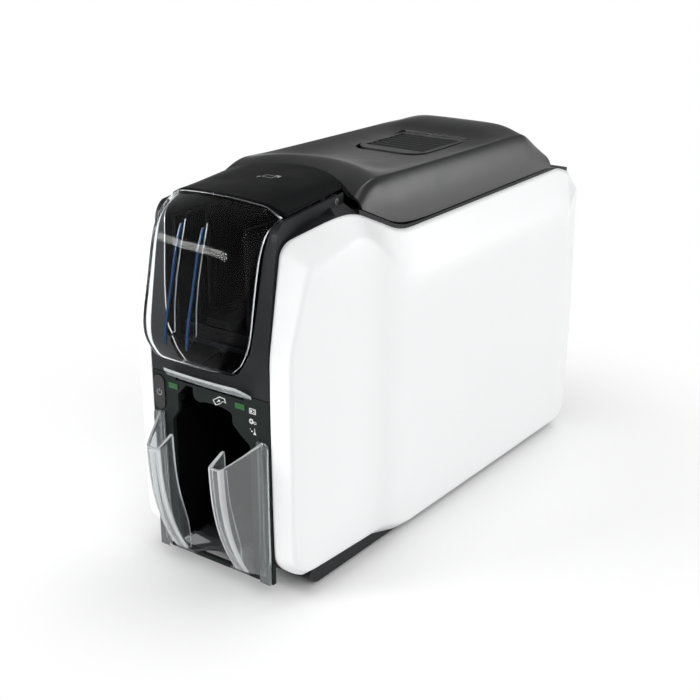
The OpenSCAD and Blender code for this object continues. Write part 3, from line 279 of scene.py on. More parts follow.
# One material for each slot, and a few that only the pieces of this script wear
MAT = {
    "panel_white": panel_plastic("panel_white", (0.84, 0.845, 0.85)),
    "shell_black": moulded("shell_black", (0.012, 0.0125, 0.014), 0.42, spec=0.22),
    "lid_black": moulded("lid_black", (0.008, 0.0084, 0.0095), 0.32, spec=0.6),
    # A darker copy of lid_black with almost no gloss, for the door, whose top then reads darker than the lid:
    # painted shade.
    "door_shaded_black": moulded("door_shaded_black", (0.006, 0.0063, 0.007), 0.42, strength=0.04, spec=0.03),
    "button_black": moulded("button_black", (0.014, 0.0144, 0.0155), 0.33, spec=0.45),
    "plate_grey": moulded("plate_grey", (0.014, 0.018, 0.017), 0.38, strength=0.04, spec=0.08),
    "works_black": moulded("works_black", (0.003, 0.003, 0.0034), 0.6, 2000, 0.00006, 0.04, spec=0.03),
    # Its small share of milky scatter stands in for the floor's reflection on the clear bin: painted
    # reflection.
    "bin_smoke": clear("bin_smoke", (0.90, 0.93, 0.94), 0.02, 1.5, 0.05),
    "window_clear": clear("window_clear", (0.96, 0.975, 0.985), 0.01, 1.12),
    # A milky copy of the clear plastic for the window's rims and the ribs' rear edges: painted highlights.
    "clear_edge": clear("clear_edge", (0.86, 0.90, 0.92), 0.12, 1.4, 0.1),
    # A milky copy of the bin's clear plastic for the wings' rims and corner strips: painted highlights.
    "bin_edge_highlight": clear("bin_edge_highlight", (0.95, 0.97, 0.98), 0.08, 1.45, 0.4),
    # Clear plastic whitened by milky scatter to the brightness that the lit visor shows: painted light.
    "visor_clear": clear("visor_clear", (0.90, 0.93, 0.94), 0.06, 1.5, 0.3),
    "rib_clear": clear("rib_clear", (0.94, 0.96, 0.99), 0.01, 1.06),
    "rib_blue": clear("rib_blue", (0.008, 0.045, 0.13), 0.12, 1.3, 0.7),
    "light_green": glowing("light_green", (0.006, 0.11, 0.018), 0.08),
    "foot_rubber": rubber("foot_rubber", (0.02, 0.02, 0.02)),
    "roller_rubber": rubber("roller_rubber", (0.03, 0.03, 0.03), 0.6),
    "pinch_grey": moulded("pinch_grey", (0.50, 0.50, 0.50), 0.4),
    "cleaning_blue": rubber("cleaning_blue", (0.05, 0.20, 0.48), 0.45),
    "sheet_steel": metal("sheet_steel", (0.60, 0.61, 0.62), 0.34),
    "pin_steel": metal("pin_steel", (0.68, 0.69, 0.70), 0.22, (30, 1, 1)),
    "head_metal": metal("head_metal", (0.60, 0.61, 0.62), 0.4, (1, 1, 1)),
    "nylon": moulded("nylon", (0.72, 0.72, 0.68), 0.45),
    "ribbon_blue": moulded("ribbon_blue", (0.015, 0.025, 0.14), 0.22, 400, 0.00002, 0.1, 0.4),
    "brass": metal("brass", (0.80, 0.60, 0.25), 0.28, (1, 1, 1)),
    "motor_metal": metal("motor_metal", (0.50, 0.51, 0.52), 0.3, (30, 1, 1)),
    "belt_black": rubber("belt_black", (0.015, 0.015, 0.015), 0.7),
    "board_green": board("board_green"),
    "port_metal": metal("port_metal", (0.66, 0.67, 0.68), 0.25),
    "mark_white": moulded("mark_white", (0.72, 0.73, 0.73), 0.5, 1500, 0.00001, 0.1),
    "mark_grey": moulded("mark_grey", (0.30, 0.31, 0.32), 0.5, 1500, 0.00001, 0.1),
    "inlet_black": moulded("inlet_black", (0.010, 0.010, 0.011), 0.4),
}


def dress_nodes():
    """Gives every CAD node the material of its slot."""
    for part in frame["record"]["subparts"]:
        node = NODES[part["node"]]
        node.data.materials.clear()
        node.data.materials.append(MAT[part["material_slot"]])


# ---------- meshes ----------
def finish_mesh(name, bm, slot, body, replaces=(), smooth=True):
    """Makes bm an object that wears a material, rides a body and replaces the given nodes."""
    bmesh.ops.recalc_face_normals(bm, faces=bm.faces)
    me = bpy.data.meshes.new(name)
    bm.to_mesh(me)
    bm.free()
    for p in me.polygons:
        p.use_smooth = smooth
    ob = bpy.data.objects.new(name, me)
    bpy.context.scene.collection.objects.link(ob)
    me.materials.append(MAT[slot])
    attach(ob, body)
    if replaces:
        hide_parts(*replaces)
    return ob


def subdivide(ob, levels=2):
    """Rounds the mesh by subdivision."""
    s = ob.modifiers.new("subdivision", "SUBSURF")
    s.levels = s.render_levels = levels


def crease_layer(bm):
    """The layer that holds the edges' creases."""
    return bm.edges.layers.float.get("crease_edge") or bm.edges.layers.float.new("crease_edge")


def crease_row(bm, rows, i, weight):
    """Creases the edges that run along row i."""
    layer = crease_layer(bm)
    row = rows[i]
    for j in range(len(row)):
        e = bm.edges.get((row[j], row[(j + 1) % len(row)]))
        if e:
            e[layer] = weight


def crease_columns(bm, rows, columns, weight):
    """Creases the edges that run from row to row at the given places of a row."""
    layer = crease_layer(bm)
    for a, b in zip(rows, rows[1:]):
        for j in columns:
            e = bm.edges.get((a[j], b[j]))
            if e:
                e[layer] = weight


def verts(bm, points):
    """New vertices at points in the printer's millimetres."""
    return [bm.verts.new(at(*p)) for p in points]


def bridge(bm, a, b):
    """Faces between two closed rows of vertices."""
    n = len(a)
    for j in range(n):
        k = (j + 1) % n
        bm.faces.new((a[j], a[k], b[k], b[j]))


def keep_result(ob):
    """Makes the mesh that the modifiers give the object's own."""
    bpy.context.view_layer.update()
    dg = bpy.context.evaluated_depsgraph_get()
    me = bpy.data.meshes.new_from_object(ob.evaluated_get(dg))
    old = ob.data
    ob.modifiers.clear()
    ob.data = me
    bpy.data.meshes.remove(old)


def apply_cut(ob, cutter):
    """Cuts cutter out of ob and keeps only the result."""
    m = ob.modifiers.new("cut", "BOOLEAN")
    m.operation = "DIFFERENCE"
    m.object = cutter
    m.solver = "EXACT"
    keep_result(ob)
    ob.data.set_sharp_from_angle(angle=math.radians(35))
    bpy.data.objects.remove(cutter)


def outline_mesh(name, outlines, thick=0.0, bevel=0.0):
    """The mesh inside closed outlines in mm, flat or with a thickness and rounded edges."""
    cu = bpy.data.curves.new(name, "CURVE")
    cu.dimensions = "2D"
    cu.fill_mode = "BOTH"
    for outline in outlines:
        sp = cu.splines.new("POLY")
        sp.points.add(len(outline) - 1)
        sp.use_cyclic_u = True
        for pt, (u, v) in zip(sp.points, outline):
            pt.co = (u / 1000, v / 1000, 0, 1)
    if thick:
        cu.extrude = (thick / 2 - bevel) / 1000
        cu.bevel_depth = bevel / 1000
        cu.bevel_resolution = 2
        cu.offset = -bevel / 1000
    tmp = bpy.data.objects.new(name, cu)
    bpy.context.scene.collection.objects.link(tmp)
    bpy.context.view_layer.update()
    me = bpy.data.meshes.new_from_object(tmp.evaluated_get(bpy.context.evaluated_depsgraph_get()))
    bpy.data.objects.remove(tmp)
    return me


def extruded(name, outlines, plane, start, thick, slot, body, bevel=0.3, replaces=()):
    """A plate with rounded edges: outlines in mm, the first outside and the others holes.
    plane is x, y or z, the direction that it is thick along."""
    me = outline_mesh(name, outlines, thick, min(bevel, thick * 0.4))
    middle = start + thick / 2
    for v in me.vertices:
        u, w, t = v.co
        if plane == "x":
            v.co = (middle / 1000 + t, u - FACE_Y / 1000, w)
        elif plane == "y":
            v.co = (u, (middle - FACE_Y) / 1000 - t, w)
        else:
            v.co = (u, w - FACE_Y / 1000, middle / 1000 + t)
    bm = bmesh.new()
    bm.from_mesh(me)
    bpy.data.meshes.remove(me)
    bmesh.ops.remove_doubles(bm, verts=bm.verts, dist=1e-6)
    ob = finish_mesh(name, bm, slot, body, replaces)
    ob.data.set_sharp_from_angle(angle=math.radians(50))
    return ob


# ---------- side panels ----------
BODY_W, BODY_D, FRONT_W, TOP_HALF, WALL = 150.0, 372.0, 99.0, 62.0, 2.5
HALF_W, FRONT_HALF = BODY_W / 2, FRONT_W / 2
SEAM = 0.6
FLARE, FLARE_D = 11.5, 62     # how far the face draws in at the front, and over what depth
TUCK, TUCK_D = 2, 40          # the same at the rear
SPINE_Y, SPINE_Z = (110, 300), 125
# The panel's outline from the side, as y and z, and the radius of each corner
PANEL_CORNERS = [(1, 16), (0, 120), (0.5, 168), (12.5, 236), (62, 250), (123, 223), (342, 226),
                 (365, 219), (373, 110), (363, 3.5), (121, 3.5), (88, 13)]
PANEL_RADII = [18, 0, 110, 13, 60, 60, 40, 12, 260, 16, 40, 40]


def face_x(y):
    """Distance of the panel's face from the middle plane."""
    flare = FLARE * max(0, 1 - y / FLARE_D) ** 2
    tuck = TUCK * max(0, (y - BODY_D + TUCK_D) / TUCK_D) ** 2
    return HALF_W - flare - tuck


def spine(p):
    """The point of the panel's middle line that outline point p is drawn towards."""
    return (max(SPINE_Y[0], min(SPINE_Y[1], p[0])), SPINE_Z)


def inward(p):
    """Direction from outline point p to the spine."""
    s = spine(p)
    return unit((s[0] - p[0], s[1] - p[1]))


def edge_x(p):
    """Distance of the rim from the middle plane: it widens behind the front frame, later at the shoulder."""
    behind = (p[0] - 8) / 50 if p[1] > 200 else (p[0] - 1) / 14
    return lerp(FRONT_HALF + SEAM, TOP_HALF, ease(behind))


def band(p):
    """Width of the sloped border at outline point p."""
    if p[1] < 60:
        return lerp(3, 9, ease(p[0] / 30))
    if p[0] < 8:
        return 3
    if p[0] > BODY_D - 10:
        return 10
    return lerp(12, 25, ease((p[0] - 50) / 70)) * ease((p[0] - 4) / 14) + 3


def crease_point(p):
    """The inner edge of the border at outline point p."""
    v, b = inward(p), band(p)
    return (p[0] + v[0] * b, p[1] + v[1] * b)


def toward(p, t):
    """A point of the face, t of the way from the border's inner edge to the spine."""
    c, s = crease_point(p), spine(p)
    return (lerp(c[0], s[0], t), lerp(c[1], s[1], t))


def panel_row(outline, t, drop, inset):
    """A row of the face, drop below its full width and inset into its wall."""
    out = []
    for p in outline:
        q = toward(p, t)
        out.append((face_x(q[0]) - drop - inset, q[0], q[1]))
    return out


def panel_rows():
    """The panel's rows from the middle of its face out to the rim and back along the inside."""
    outline = rounded(PANEL_CORNERS, PANEL_RADII, 6)
    border, rim, inner_rim = [], [], []
    for p in outline:
        q, v = crease_point(p), inward(p)
        border.append((face_x(q[0]) - lerp(0.8, 2.2, ease(p[0] / 30)), q[0], q[1]))
        rim.append((edge_x(p), p[0], p[1]))
        inner_rim.append((edge_x(p), p[0] + v[0] * WALL, p[1] + v[1] * WALL))
    return [
        [(HALF_W, *toward(p, 0.6)) for p in outline],
        panel_row(outline, 0.32, 0, 0),
        panel_row(outline, 0.12, 0.25, 0),
        border,
        [tuple(lerp(a, b, 0.5) for a, b in zip(c, r)) for c, r in zip(border, rim)],
        rim,
        inner_rim,
        [(a - WALL, b, c) for a, b, c in border],
        panel_row(outline, 0.32, 0, WALL),
        [(HALF_W - WALL, *toward(p, 0.6)) for p in outline],
    ]


PANEL_CREASES = {3: 0.9, 5: 0.85, 6: 0.85}    # by row


def side_panel(name, sign, node):
    """A panel; its two flat middles are filled after the subdivision, which would dent them."""
    bm = bmesh.new()
    built = [verts(bm, [(sign * x, y, z) for x, y, z in row]) for row in panel_rows()]
    for a, b in zip(built, built[1:]):
        bridge(bm, a, b)
    for i, weight in PANEL_CREASES.items():
        crease_row(bm, built, i, weight)
    ob = finish_mesh(name, bm, "panel_white", "printer", (node,))
    subdivide(ob, 2)
    keep_result(ob)
    bm = bmesh.new()
    bm.from_mesh(ob.data)
    bmesh.ops.holes_fill(bm, edges=[e for e in bm.edges if e.is_boundary], sides=0)
    bmesh.ops.recalc_face_normals(bm, faces=bm.faces)
    for f in bm.faces:
        f.smooth = True
    bm.to_mesh(ob.data)
    bm.free()


# ---------- thin walls: lid, door, window, bin wings, visor ----------
def wall_skin(bm, rows, creases):
    """A wall through closed rows; each row runs out along one face and back along the other.
    creases gives the weight of the rims: side edges, first row, last row."""
    built = [verts(bm, row) for row in rows]
    n = len(rows[0])
    for a, b in zip(built, built[1:]):
        bridge(bm, a, b)
    for row in (built[0], built[-1]):
        for j in range(n // 2 - 1):
            bm.faces.new((row[j], row[j + 1], row[n - 2 - j], row[n - 1 - j]))
    side, first, last = creases
    crease_row(bm, built, 0, first)
    crease_row(bm, built, len(built) - 1, last)
    crease_columns(bm, built, (0, n // 2 - 1, n // 2, n - 1), side)
    return built


SHOULDER_X = 54.0
DOOR_Z, DOOR_HALF, DOOR_REAR = 262.0, 46.5, 100
REAR_BOW = 28.5               # how far the door's rear edge comes forward at the shoulders
COLLAR_GAP, COLLAR_WIDEN = 3, 6
ARM_T, HINGE_BORE = 4, 2.08   # the door arms' thickness and a hinge bore's radius


def door_rear(x):
    """y of the door's rear edge at x."""
    return DOOR_REAR - REAR_BOW * (x / SHOULDER_X) ** 2


def collar(x):
    """y of the lid's front edge at x, a gap behind the door's rear edge."""
    return door_rear(x) + COLLAR_GAP + COLLAR_WIDEN * (x / SHOULDER_X) ** 6


# Half of the door's section seen from the front, as x and the drop below its top
DOOR_SIDE = [(0, 0), (15, 0.4), (28, 1.5), (36.5, 2.8), (43, 6), (46.1, 7.6), (46.5, 8.6), (46.5, 10.2)]
DOOR_ARM = DOOR_HALF - WALL - 4.5    # x of the right arm's inner face
DOOR_FRONT, FRONT_BOW = 16.8, 7
DOOR_PIVOT = (70.0, 251.0)    # y and z
ARM_R, ARM_TOP = 4.2, DOOR_Z - 4.6


def door_front(x):
    """y of the seam between the window and the door at x."""
    return DOOR_FRONT + FRONT_BOW * (x / DOOR_HALF) ** 2


def door_top(t):
    """z of the door's top, t of the way from its front to its rear."""
    return lerp(DOOR_Z - 2, DOOR_Z + 0.5, t)


def door_row(t, inset):
    """A row across the door, t of the way from its front to its rear."""
    out = []
    for x, drop in [(-x, d) for x, d in DOOR_SIDE[:0:-1]] + DOOR_SIDE:
        z = door_top(t) - drop * lerp(1, 0.55, t) - (inset if abs(x) < DOOR_HALF else 0)
        out.append((x * (1 - inset / DOOR_HALF), lerp(door_front(x), door_rear(x), t), z))
    return out


def hopper_door():
    """The door's shell and the two arms that its pins turn in."""
    bm = bmesh.new()
    steps = [0, 0.02, 0.3, 0.65, 0.98, 1]
    rows = [door_row(t, 0) + door_row(t, WALL)[::-1] for t in steps]
    wall_skin(bm, rows, (0.8, 0.8, 0.8))
    ob = finish_mesh("hopper_door_shell", bm, "lid_black", "door", ("hopper_door",))
    # The door wears the darker copy of lid_black: painted shade on its top.
    ob.data.materials[0] = MAT["door_shaded_black"]
    subdivide(ob, 3)
    for sign, side in ((1, "right"), (-1, "left")):
        door_arm("door_arm_" + side, sign)


def door_arm(name, sign):
    """A rounded arm with the bore of its pin."""
    y, z = DOOR_PIVOT
    outline = arc(y, z, ARM_R, 180, 361) + [(y + ARM_R, ARM_TOP), (y - ARM_R, ARM_TOP)]
    x0 = DOOR_ARM if sign > 0 else -DOOR_ARM - ARM_T
    extruded(name, [outline, circle(y, z, HINGE_BORE)], "x", x0, ARM_T, "lid_black", "door", 0.2)


# From front to rear: y behind the start, share of the collar's curve, z of the middle and z of the
# shoulder
LID_ROWS = [
    (0, 1, 259.2, 253), (8, 1, 262.5, 257.5), (20, 1, 265, 261), (28, 0.9, 262, 260.5),
    (40, 0.7, 258, 260), (58, 0.4, 256.6, 259.8), (85, 0.1, 256.2, 259.6), (125, 0, 256.2, 259.4),
    (159, 0, 256.2, 259.3), (169, 0, 264, 259.2), (191, 0, 265.6, 258.6), (198, 0, 263, 257),
    (210, 0, 254, 249), (222, 0, 245.2, 241.7), (230, 0, 239.8, 237.2)]
LID_START = collar(0)
LID_SHOULDER = 54.5
REAR_FOOT_Z = 226.5           # the lid's foot is never lower than this towards the rear
# The panels' top edge, as y and z
PANEL_TOP = [(60, 249), (78, 244.5), (99, 235), (112, 229), (122, 225.3), (132, 223.8), (150, 223.4),
             (250, 225), (330, 226.2), (372, 220)]


def lookup(y, table):
    """The value at y in a table of y and value."""
    if y <= table[0][0]:
        return table[0][1]
    for (a, u), (b, v) in zip(table, table[1:]):
        if y <= b:
            return lerp(u, v, (y - a) / (b - a))
    return table[-1][1]


def lid_y(r, x):
    """y of lid row r at x."""
    return LID_START + r[0] + r[1] * (collar(x) - LID_START)


def lid_row(r, inset):
    """A row across the lid: its half from the middle to the foot, mirrored to the other side."""
    foot = lid_y(r, SHOULDER_X)
    low = max(lookup(foot, PANEL_TOP) + 2, 0 if foot < 200 else REAR_FOOT_Z)
    top, sh = r[2], r[3]
    mid = lerp(sh, top, 0.6)
    s = LID_SHOULDER
    half = [(0, top + 0.1), (20, top), (37, top - 0.3), (s - 6, lerp(sh, mid, 0.4)), (s, sh),
            (s + 3, lerp(low, sh, 0.84)), (TOP_HALF - 1.8, lerp(low, sh, 0.45)), (TOP_HALF - 0.4, low)]
    pts = [(-x, z) for x, z in half[:0:-1]] + half
    out = []
    for x, z in pts:
        side = abs(x) > s + 0.1
        z2 = z - (inset * 0.4 if abs(x) < s + 4 else 0) if side else z - inset
        out.append((x * (1 - inset / TOP_HALF), lid_y(r, max(-SHOULDER_X, min(SHOULDER_X, x))), z2))
    return out


POCKET_Z = 248.0
RELEASE_HALF, RELEASE_FRONT, RELEASE_REAR, RELEASE_TRAVEL, RELEASE_GAP = 29, 194, 260, 4, 1
WELL = [(-33, 186), (33, 186), (33, 264), (-33, 264)]
HOOK_SLOT = [(-12, 198), (12, 198), (12, 222), (-12, 222)]
LATCH_PIN, LID_PIN = (150, 232), (334, 231)    # y and z
LUG_R, LUG_TOP = 5, 254.3
SHOULDER_COLUMNS = (3, 11)    # the places of the shoulders in a lid row


def pocket_outline():
    """The opening that the release button slides in, seen from above."""
    h = RELEASE_HALF + RELEASE_GAP
    f = RELEASE_FRONT - RELEASE_TRAVEL - RELEASE_GAP
    b = RELEASE_REAR + RELEASE_GAP
    return rounded([(-h, b), (-h, f), (h, f), (h, b)], [2, 15, 15, 2], 10)


def lid_cover():
    """The lid's shell with the pocket of the release button, and what hangs under it."""
    bm = bmesh.new()
    rows = [lid_row(r, 0) + lid_row(r, WALL)[::-1] for r in LID_ROWS]
    built = wall_skin(bm, rows, (0.8, 0.8, 0.6))
    crease_columns(bm, built, SHOULDER_COLUMNS, 0.45)
    ob = finish_mesh("lid_shell", bm, "lid_black", "lid", ("lid_cover",))
    subdivide(ob, 3)
    cut = extruded("lid_pocket_cut", [pocket_outline()], "z", POCKET_Z, 30, "lid_black", "lid", 0.01)
    apply_cut(ob, cut)
    lid_fittings()


def lid_fittings():
    """The well under the release button, the hinge knuckles and the latch pin's lugs."""
    extruded("lid_well_floor", [WELL, HOOK_SLOT], "z", POCKET_Z - 2, 2, "lid_black", "lid", 0.2)
    extruded("lid_well_wall", [WELL, pocket_outline()], "z", POCKET_Z, 6.2, "lid_black", "lid", 0.1)
    latch_y, latch_z = LATCH_PIN
    lug = arc(latch_y, latch_z, LUG_R, 180, 361) + [(latch_y + LUG_R, LUG_TOP), (latch_y - LUG_R, LUG_TOP)]
    knuckle = arc(*LID_PIN, LUG_R, -180, 61) + [(322, 243.8), (316, 243.5)]
    for side, lug_x, knuckle_x in (("right", 20, 20), ("left", -24, -40)):
        extruded("latch_lug_" + side, [lug, circle(*LATCH_PIN, 2)], "x", lug_x, 4, "lid_black", "lid", 0.3)
        extruded("lid_knuckle_" + side, [knuckle, circle(*LID_PIN, HINGE_BORE)], "x", knuckle_x, 20,
                 "lid_black", "lid", 0.3)
    spring_lug = [(-5, 187), (5, 187), (5, 189), (-5, 189)]
    extruded("spring_lug", [spring_lug], "z", 239.5, 7, "lid_black", "lid", 0.2)


# From bottom to top: x, y, z of the seam at the frame, then x, y, z of the front and the crown of its
# middle. A front y from -1 to 0 is a share of WINDOW_OUT.
WINDOW_ROWS = [
    (20, 1, 151, 19.4, -2, 151.4, 0), (27, 1, 157, 25.6, -0.75, 160, 0), (33.6, 1, 168, 31.6, -0.87, 170, 0),
    (36, 1.4, 180, 33.6, -0.84, 180, 0), (37, 2, 190, 34, -0.76, 190, 0), (38, 3.4, 204, 34.4, -0.62, 204, 0),
    (38.8, 5.2, 217, 34.9, -0.49, 218, 0), (39.8, 7.2, 230, 35.4, -0.37, 231, 0),
    (42.2, 9.8, 241, 36, -0.2, 242.5, 0), (44.4, 14, 247.4, 36.5, 6, 252, 2),
    (46, 21, 250.4, 36.8, 18.4, 256.6, 3.2)]
WINDOW_OUT, WINDOW_T = 28.0, 2.0
WINDOW_TOP_Z = 250            # above this the wall lies flat


def front_edge(front_y):
    """y of the window's front, given plainly or as a share of WINDOW_OUT."""
    return front_y * WINDOW_OUT if -1 <= front_y < 0 else front_y


def window_row(r, inset):
    """A row across the window: its half from the middle to the seam, mirrored to the other side."""
    seam_x, seam_y, seam_z, front_x, front_y, front_z, crown = r
    fy = front_edge(front_y) + inset
    edge = 0 if front_y > 0 else 2
    xf, xr = front_x - inset * 0.7, seam_x - inset * 0.9
    drop = inset if front_z > WINDOW_TOP_Z else 0
    zf = front_z - drop
    mid = (lerp(xr, xf, 0.5), lerp(seam_y, fy - inset, 0.5) + inset * 0.6, lerp(seam_z, front_z, 0.5) - drop)
    right = [(0, fy - 0.8 - crown, zf + crown), (xf / 2, fy - 0.6 - crown * 0.75, zf + crown * 0.75),
             (xf - 3, fy - crown * 0.15, zf + crown * 0.15), (xf, fy + edge, zf - 0.4), mid,
             (xr, seam_y, seam_z - drop)]
    return [(-x, y, z) for x, y, z in right[:0:-1]] + right


def hopper_window():
    """The clear window, with its rims in a milky white copy of the clear plastic: painted highlights."""
    bm = bmesh.new()
    rows = [window_row(r, 0) + window_row(r, WINDOW_T)[::-1] for r in WINDOW_ROWS]
    built = wall_skin(bm, rows, (0.9, 0.9, 0.9))
    n = len(rows[0])
    crease_columns(bm, built, (2, n // 2 - 3, n - 3, n // 2 + 2), 0.9)    # the flat face's corners
    crease_row(bm, built, 1, 0.6)
    mark_rims(bm, built)
    ob = finish_mesh("hopper_window_shell", bm, "window_clear", "door", ("hopper_window",))
    # The rims wear the milky second material: painted highlights.
    ob.data.materials.append(MAT["clear_edge"])
    subdivide(ob, 3)


def mark_rims(bm, built, strips=()):
    """Gives the rims and some strips of a wall the second material, a milky white that paints the highlights
    along them.
    """
    n = len(built[0])
    rims = {frozenset((a[j], a[(j + 1) % n], b[j], b[(j + 1) % n]))
            for a, b in zip(built, built[1:]) for j in (n // 2 - 1, n - 1, *strips)}
    for row in (built[0], built[-1]):
        rims |= {frozenset((row[j], row[j + 1], row[n - 2 - j], row[n - 1 - j])) for j in range(n // 2 - 1)}
    for f in bm.faces:
        if frozenset(f.verts) in rims:
            f.material_index = 1


RIB_X, RIB_W = (-14, 4), 1.6
RIB_REAR_Y, RIB_REAR_Z = (1, -13), (244.5, 176)    # of the rear edge, from its top to its foot
TINTED_POINTS, TINT_D, RIB_HIGHLIGHT_D = 7, 1.5, 0.45


def window_ribs():
    """Clear blades inside the window, with a tinted front edge and a thin milky strip along the rear edge: a
    painted highlight.
    """
    front = [(front_edge(r[4]) + WINDOW_T, r[5]) for r in WINDOW_ROWS[2:10]]
    rear = [(lerp(*RIB_REAR_Y, math.sin(math.radians(90 * t))), lerp(*RIB_REAR_Z, t))
            for t in (0, 0.25, 0.5, 0.75, 1)]
    tinted = front[:TINTED_POINTS]
    edge = tinted + [(y + TINT_D, z) for y, z in tinted[::-1]]
    back = rear + [(y - RIB_HIGHLIGHT_D, z) for y, z in rear[::-1]]
    for x, side in zip(RIB_X, ("left", "right")):
        extruded("rib_" + side, [front + rear], "x", x - RIB_W / 2 + 0.1, RIB_W - 0.2, "rib_clear", "door",
                 0.1, ("window_guide_ribs",))
        extruded("rib_edge_" + side, [edge], "x", x - RIB_W / 2, RIB_W, "rib_blue", "door", 0.2)
        # A thin strip of the milky rim material along the blade's rear edge: painted highlight.
        extruded("rib_highlight_" + side, [back], "x", x - 0.3, 0.6, "clear_edge", "door", 0.05)


# The output bin: how far it stands out, its foot, its height and its wall; then x of a wing's inner side,
# the outer end of its front face, the middle of its flank and the end of its flank
BIN_OUT, BIN_LOW, BIN_H, BIN_WALL = 27.4, 9, 89, 2.2
WING_IN, WING_FRONT, WING_FLANK, WING_END = 21, 32, 38.5, 45
WING_RISE, WING_CORNER = 13, 1.2
WING_CORNERS = (1, 3)         # the places of the narrow corner strips in a wing row
WING_Z = (16, 22, 30, 42, 58, 78, 98)
FLANGE = ((40, 11), (48.5, 11), (48.5, 111), (40, 111))
FLOOR_HALF, NOTCH_R, NOTCH_Y = 32.6, 17, -9


def bin_y(z):
    """y of the bin's front at height z."""
    return -BIN_OUT + BIN_OUT * max(0.0, 1 - (z - BIN_LOW) / BIN_H) ** 2.4


def wing_row(z, inset):
    """A row round the wing at height z, from its inner side over the front to the end of its flank."""
    y = bin_y(z)
    rise = WING_RISE * ease(((z - BIN_LOW) / BIN_H - 0.8) / 0.2)
    back_y = min(-1, y + 15)
    c = WING_CORNER
    return [(WING_IN + inset, back_y, z + rise * 0.5), (WING_IN + inset, y + inset + c / 3, z),
            (WING_IN + inset + c, y + inset, z), (WING_FRONT - c - inset / 2, y + inset, z),
            (WING_FRONT - inset / 2, y + inset + c / 3, z + 0.5),
            (WING_FLANK - inset / 2, y * 0.5 + inset * 0.4, z + rise * 0.5),
            (WING_END - inset, -0.05, z + rise)]


def bin_wing(name, sign):
    """A wing of the bin, with its rims and corner strips in a milky white that paints their highlights, and
    the flange that it is held by.
    """
    bm = bmesh.new()
    rows = [[(sign * x, y, h) for x, y, h in wing_row(z, 0) + wing_row(z, BIN_WALL)[::-1]] for z in WING_Z]
    mark_rims(bm, wall_skin(bm, rows, (0.9, 0.9, 0.9)), WING_CORNERS)
    ob = finish_mesh(name, bm, "bin_smoke", "printer", ("output_bin",))
    # The rims and corner strips wear the milky second material: painted highlights.
    ob.data.materials.append(MAT["bin_edge_highlight"])
    subdivide(ob, 3)
    flange = rounded([(sign * x, z) for x, z in FLANGE], [0, 0, 3, 0], 6)
    extruded(name + "_flange", [flange], "y", -BIN_WALL, BIN_WALL - 0.05, "bin_smoke", "printer", 0.3,
             ("output_bin",))


def bin_floor():
    """The bin's floor with the round notch for a finger in its front edge."""
    notch = [(NOTCH_R * math.sin(math.radians(a)), NOTCH_Y + NOTCH_R * math.cos(math.radians(a)))
             for a in range(-72, 73, 6)]
    edge = [(-FLOOR_HALF, 60), (-FLOOR_HALF, -4), (-NOTCH_R, -4)] + [p for p in notch if p[1] > -4]
    edge += [(NOTCH_R, -4), (FLOOR_HALF, -4), (FLOOR_HALF, 60)]
    extruded("bin_floor", [edge], "z", 14, BIN_WALL, "bin_smoke", "printer", 0.4, ("output_bin",))


def feed_visor():
    """The sloping clear visor over the feed slot, whitened by milk: painted light."""
    def row(x, y, z):
        return [(-x, y, z), (-x * 0.6, y - 1.2, z), (0, y - 1.6, z), (x * 0.6, y - 1.2, z), (x, y, z)]
    rows = [row(36, -0.1, 137.5), row(34, -4.5, 141.5), row(30, -9, 145)]
    bm = bmesh.new()
    wall_skin(bm, [r + [(x, y, z + 2) for x, y, z in r][::-1] for r in rows], (0.9, 0.9, 0.9))
    ob = finish_mesh("feed_visor", bm, "visor_clear", "printer", ("manual_feed_visor",))
    subdivide(ob, 3)


# ---------- printed symbols ----------
def ring(outline, width):
    """An outline and the same outline drawn in by width."""
    cx = sum(p[0] for p in outline) / len(outline)
    cy = sum(p[1] for p in outline) / len(outline)
    out = []
    for x, y in outline:
        d = math.hypot(x - cx, y - cy)
        k = max(0.0, 1 - width * 1.2 / d)
        out.append((cx + (x - cx) * k, cy + (y - cy) * k))
    return [outline, out]


def rectangle(cx, cy, w, h, r=0.0, n=4):
    """A rectangle about a middle, with rounded corners where r is given."""
    pts = [(cx + u * w / 2, cy + v * h / 2) for u, v in ((-1, -1), (1, -1), (1, 1), (-1, 1))]
    return rounded(pts, [r] * 4, n) if r else pts


def frame_outline(cx, cy, w, h, line, r=0.4):
    """The two outlines of a rectangular frame."""
    return [rectangle(cx, cy, w, h, r), rectangle(cx, cy, w - 2 * line, h - 2 * line, max(0.05, r - line))]


def symbol(name, shapes, lay, slot, body):
    """Flat printed marks: shapes are lists of outlines in mm, laid on a surface by lay(u, v)."""
    me = outline_mesh(name, [outline for outlines in shapes for outline in outlines])
    for v in me.vertices:
        v.co = lay(v.co.x * 1000, v.co.y * 1000)
    bm = bmesh.new()
    bm.from_mesh(me)
    bpy.data.meshes.remove(me)
    finish_mesh(name, bm, slot, body, smooth=False)


def arrow(x, y, length, w, angle):
    """A small arrow head on a stem."""
    a = math.radians(angle)
    pts = [(0, -w / 4), (length * 0.5, -w / 4), (length * 0.5, -w), (length, 0), (length * 0.5, w),
           (length * 0.5, w / 4), (0, w / 4)]
    return [(x + u * math.cos(a) - v * math.sin(a), y + u * math.sin(a) + v * math.cos(a)) for u, v in pts]


COG_ROOT, COG_HOLE = 0.76, 0.42    # shares of its radius


def cog(cx, cy, r, teeth=8):
    """A cogwheel with a hole."""
    pts = []
    for i in range(teeth * 4):
        k = 1.0 if i % 4 < 2 else COG_ROOT
        a = 2 * math.pi * i / (teeth * 4)
        pts.append((cx + r * k * math.cos(a), cy + r * k * math.sin(a)))
    return [pts, circle(cx, cy, r * COG_HOLE, 20)]


def on_plate(u, v):
    """A point just before the lower front plate."""
    return at(u, -0.04, v)


def on_button(u, v):
    """A point just before the power button's face."""
    return at(u, -0.84, v)


def on_door(u, v):
    """A point just over the door's top."""
    t = (v - door_front(u)) / (door_rear(u) - door_front(u))
    return at(u, v, door_top(t) - 0.03 * abs(u) + 0.06)


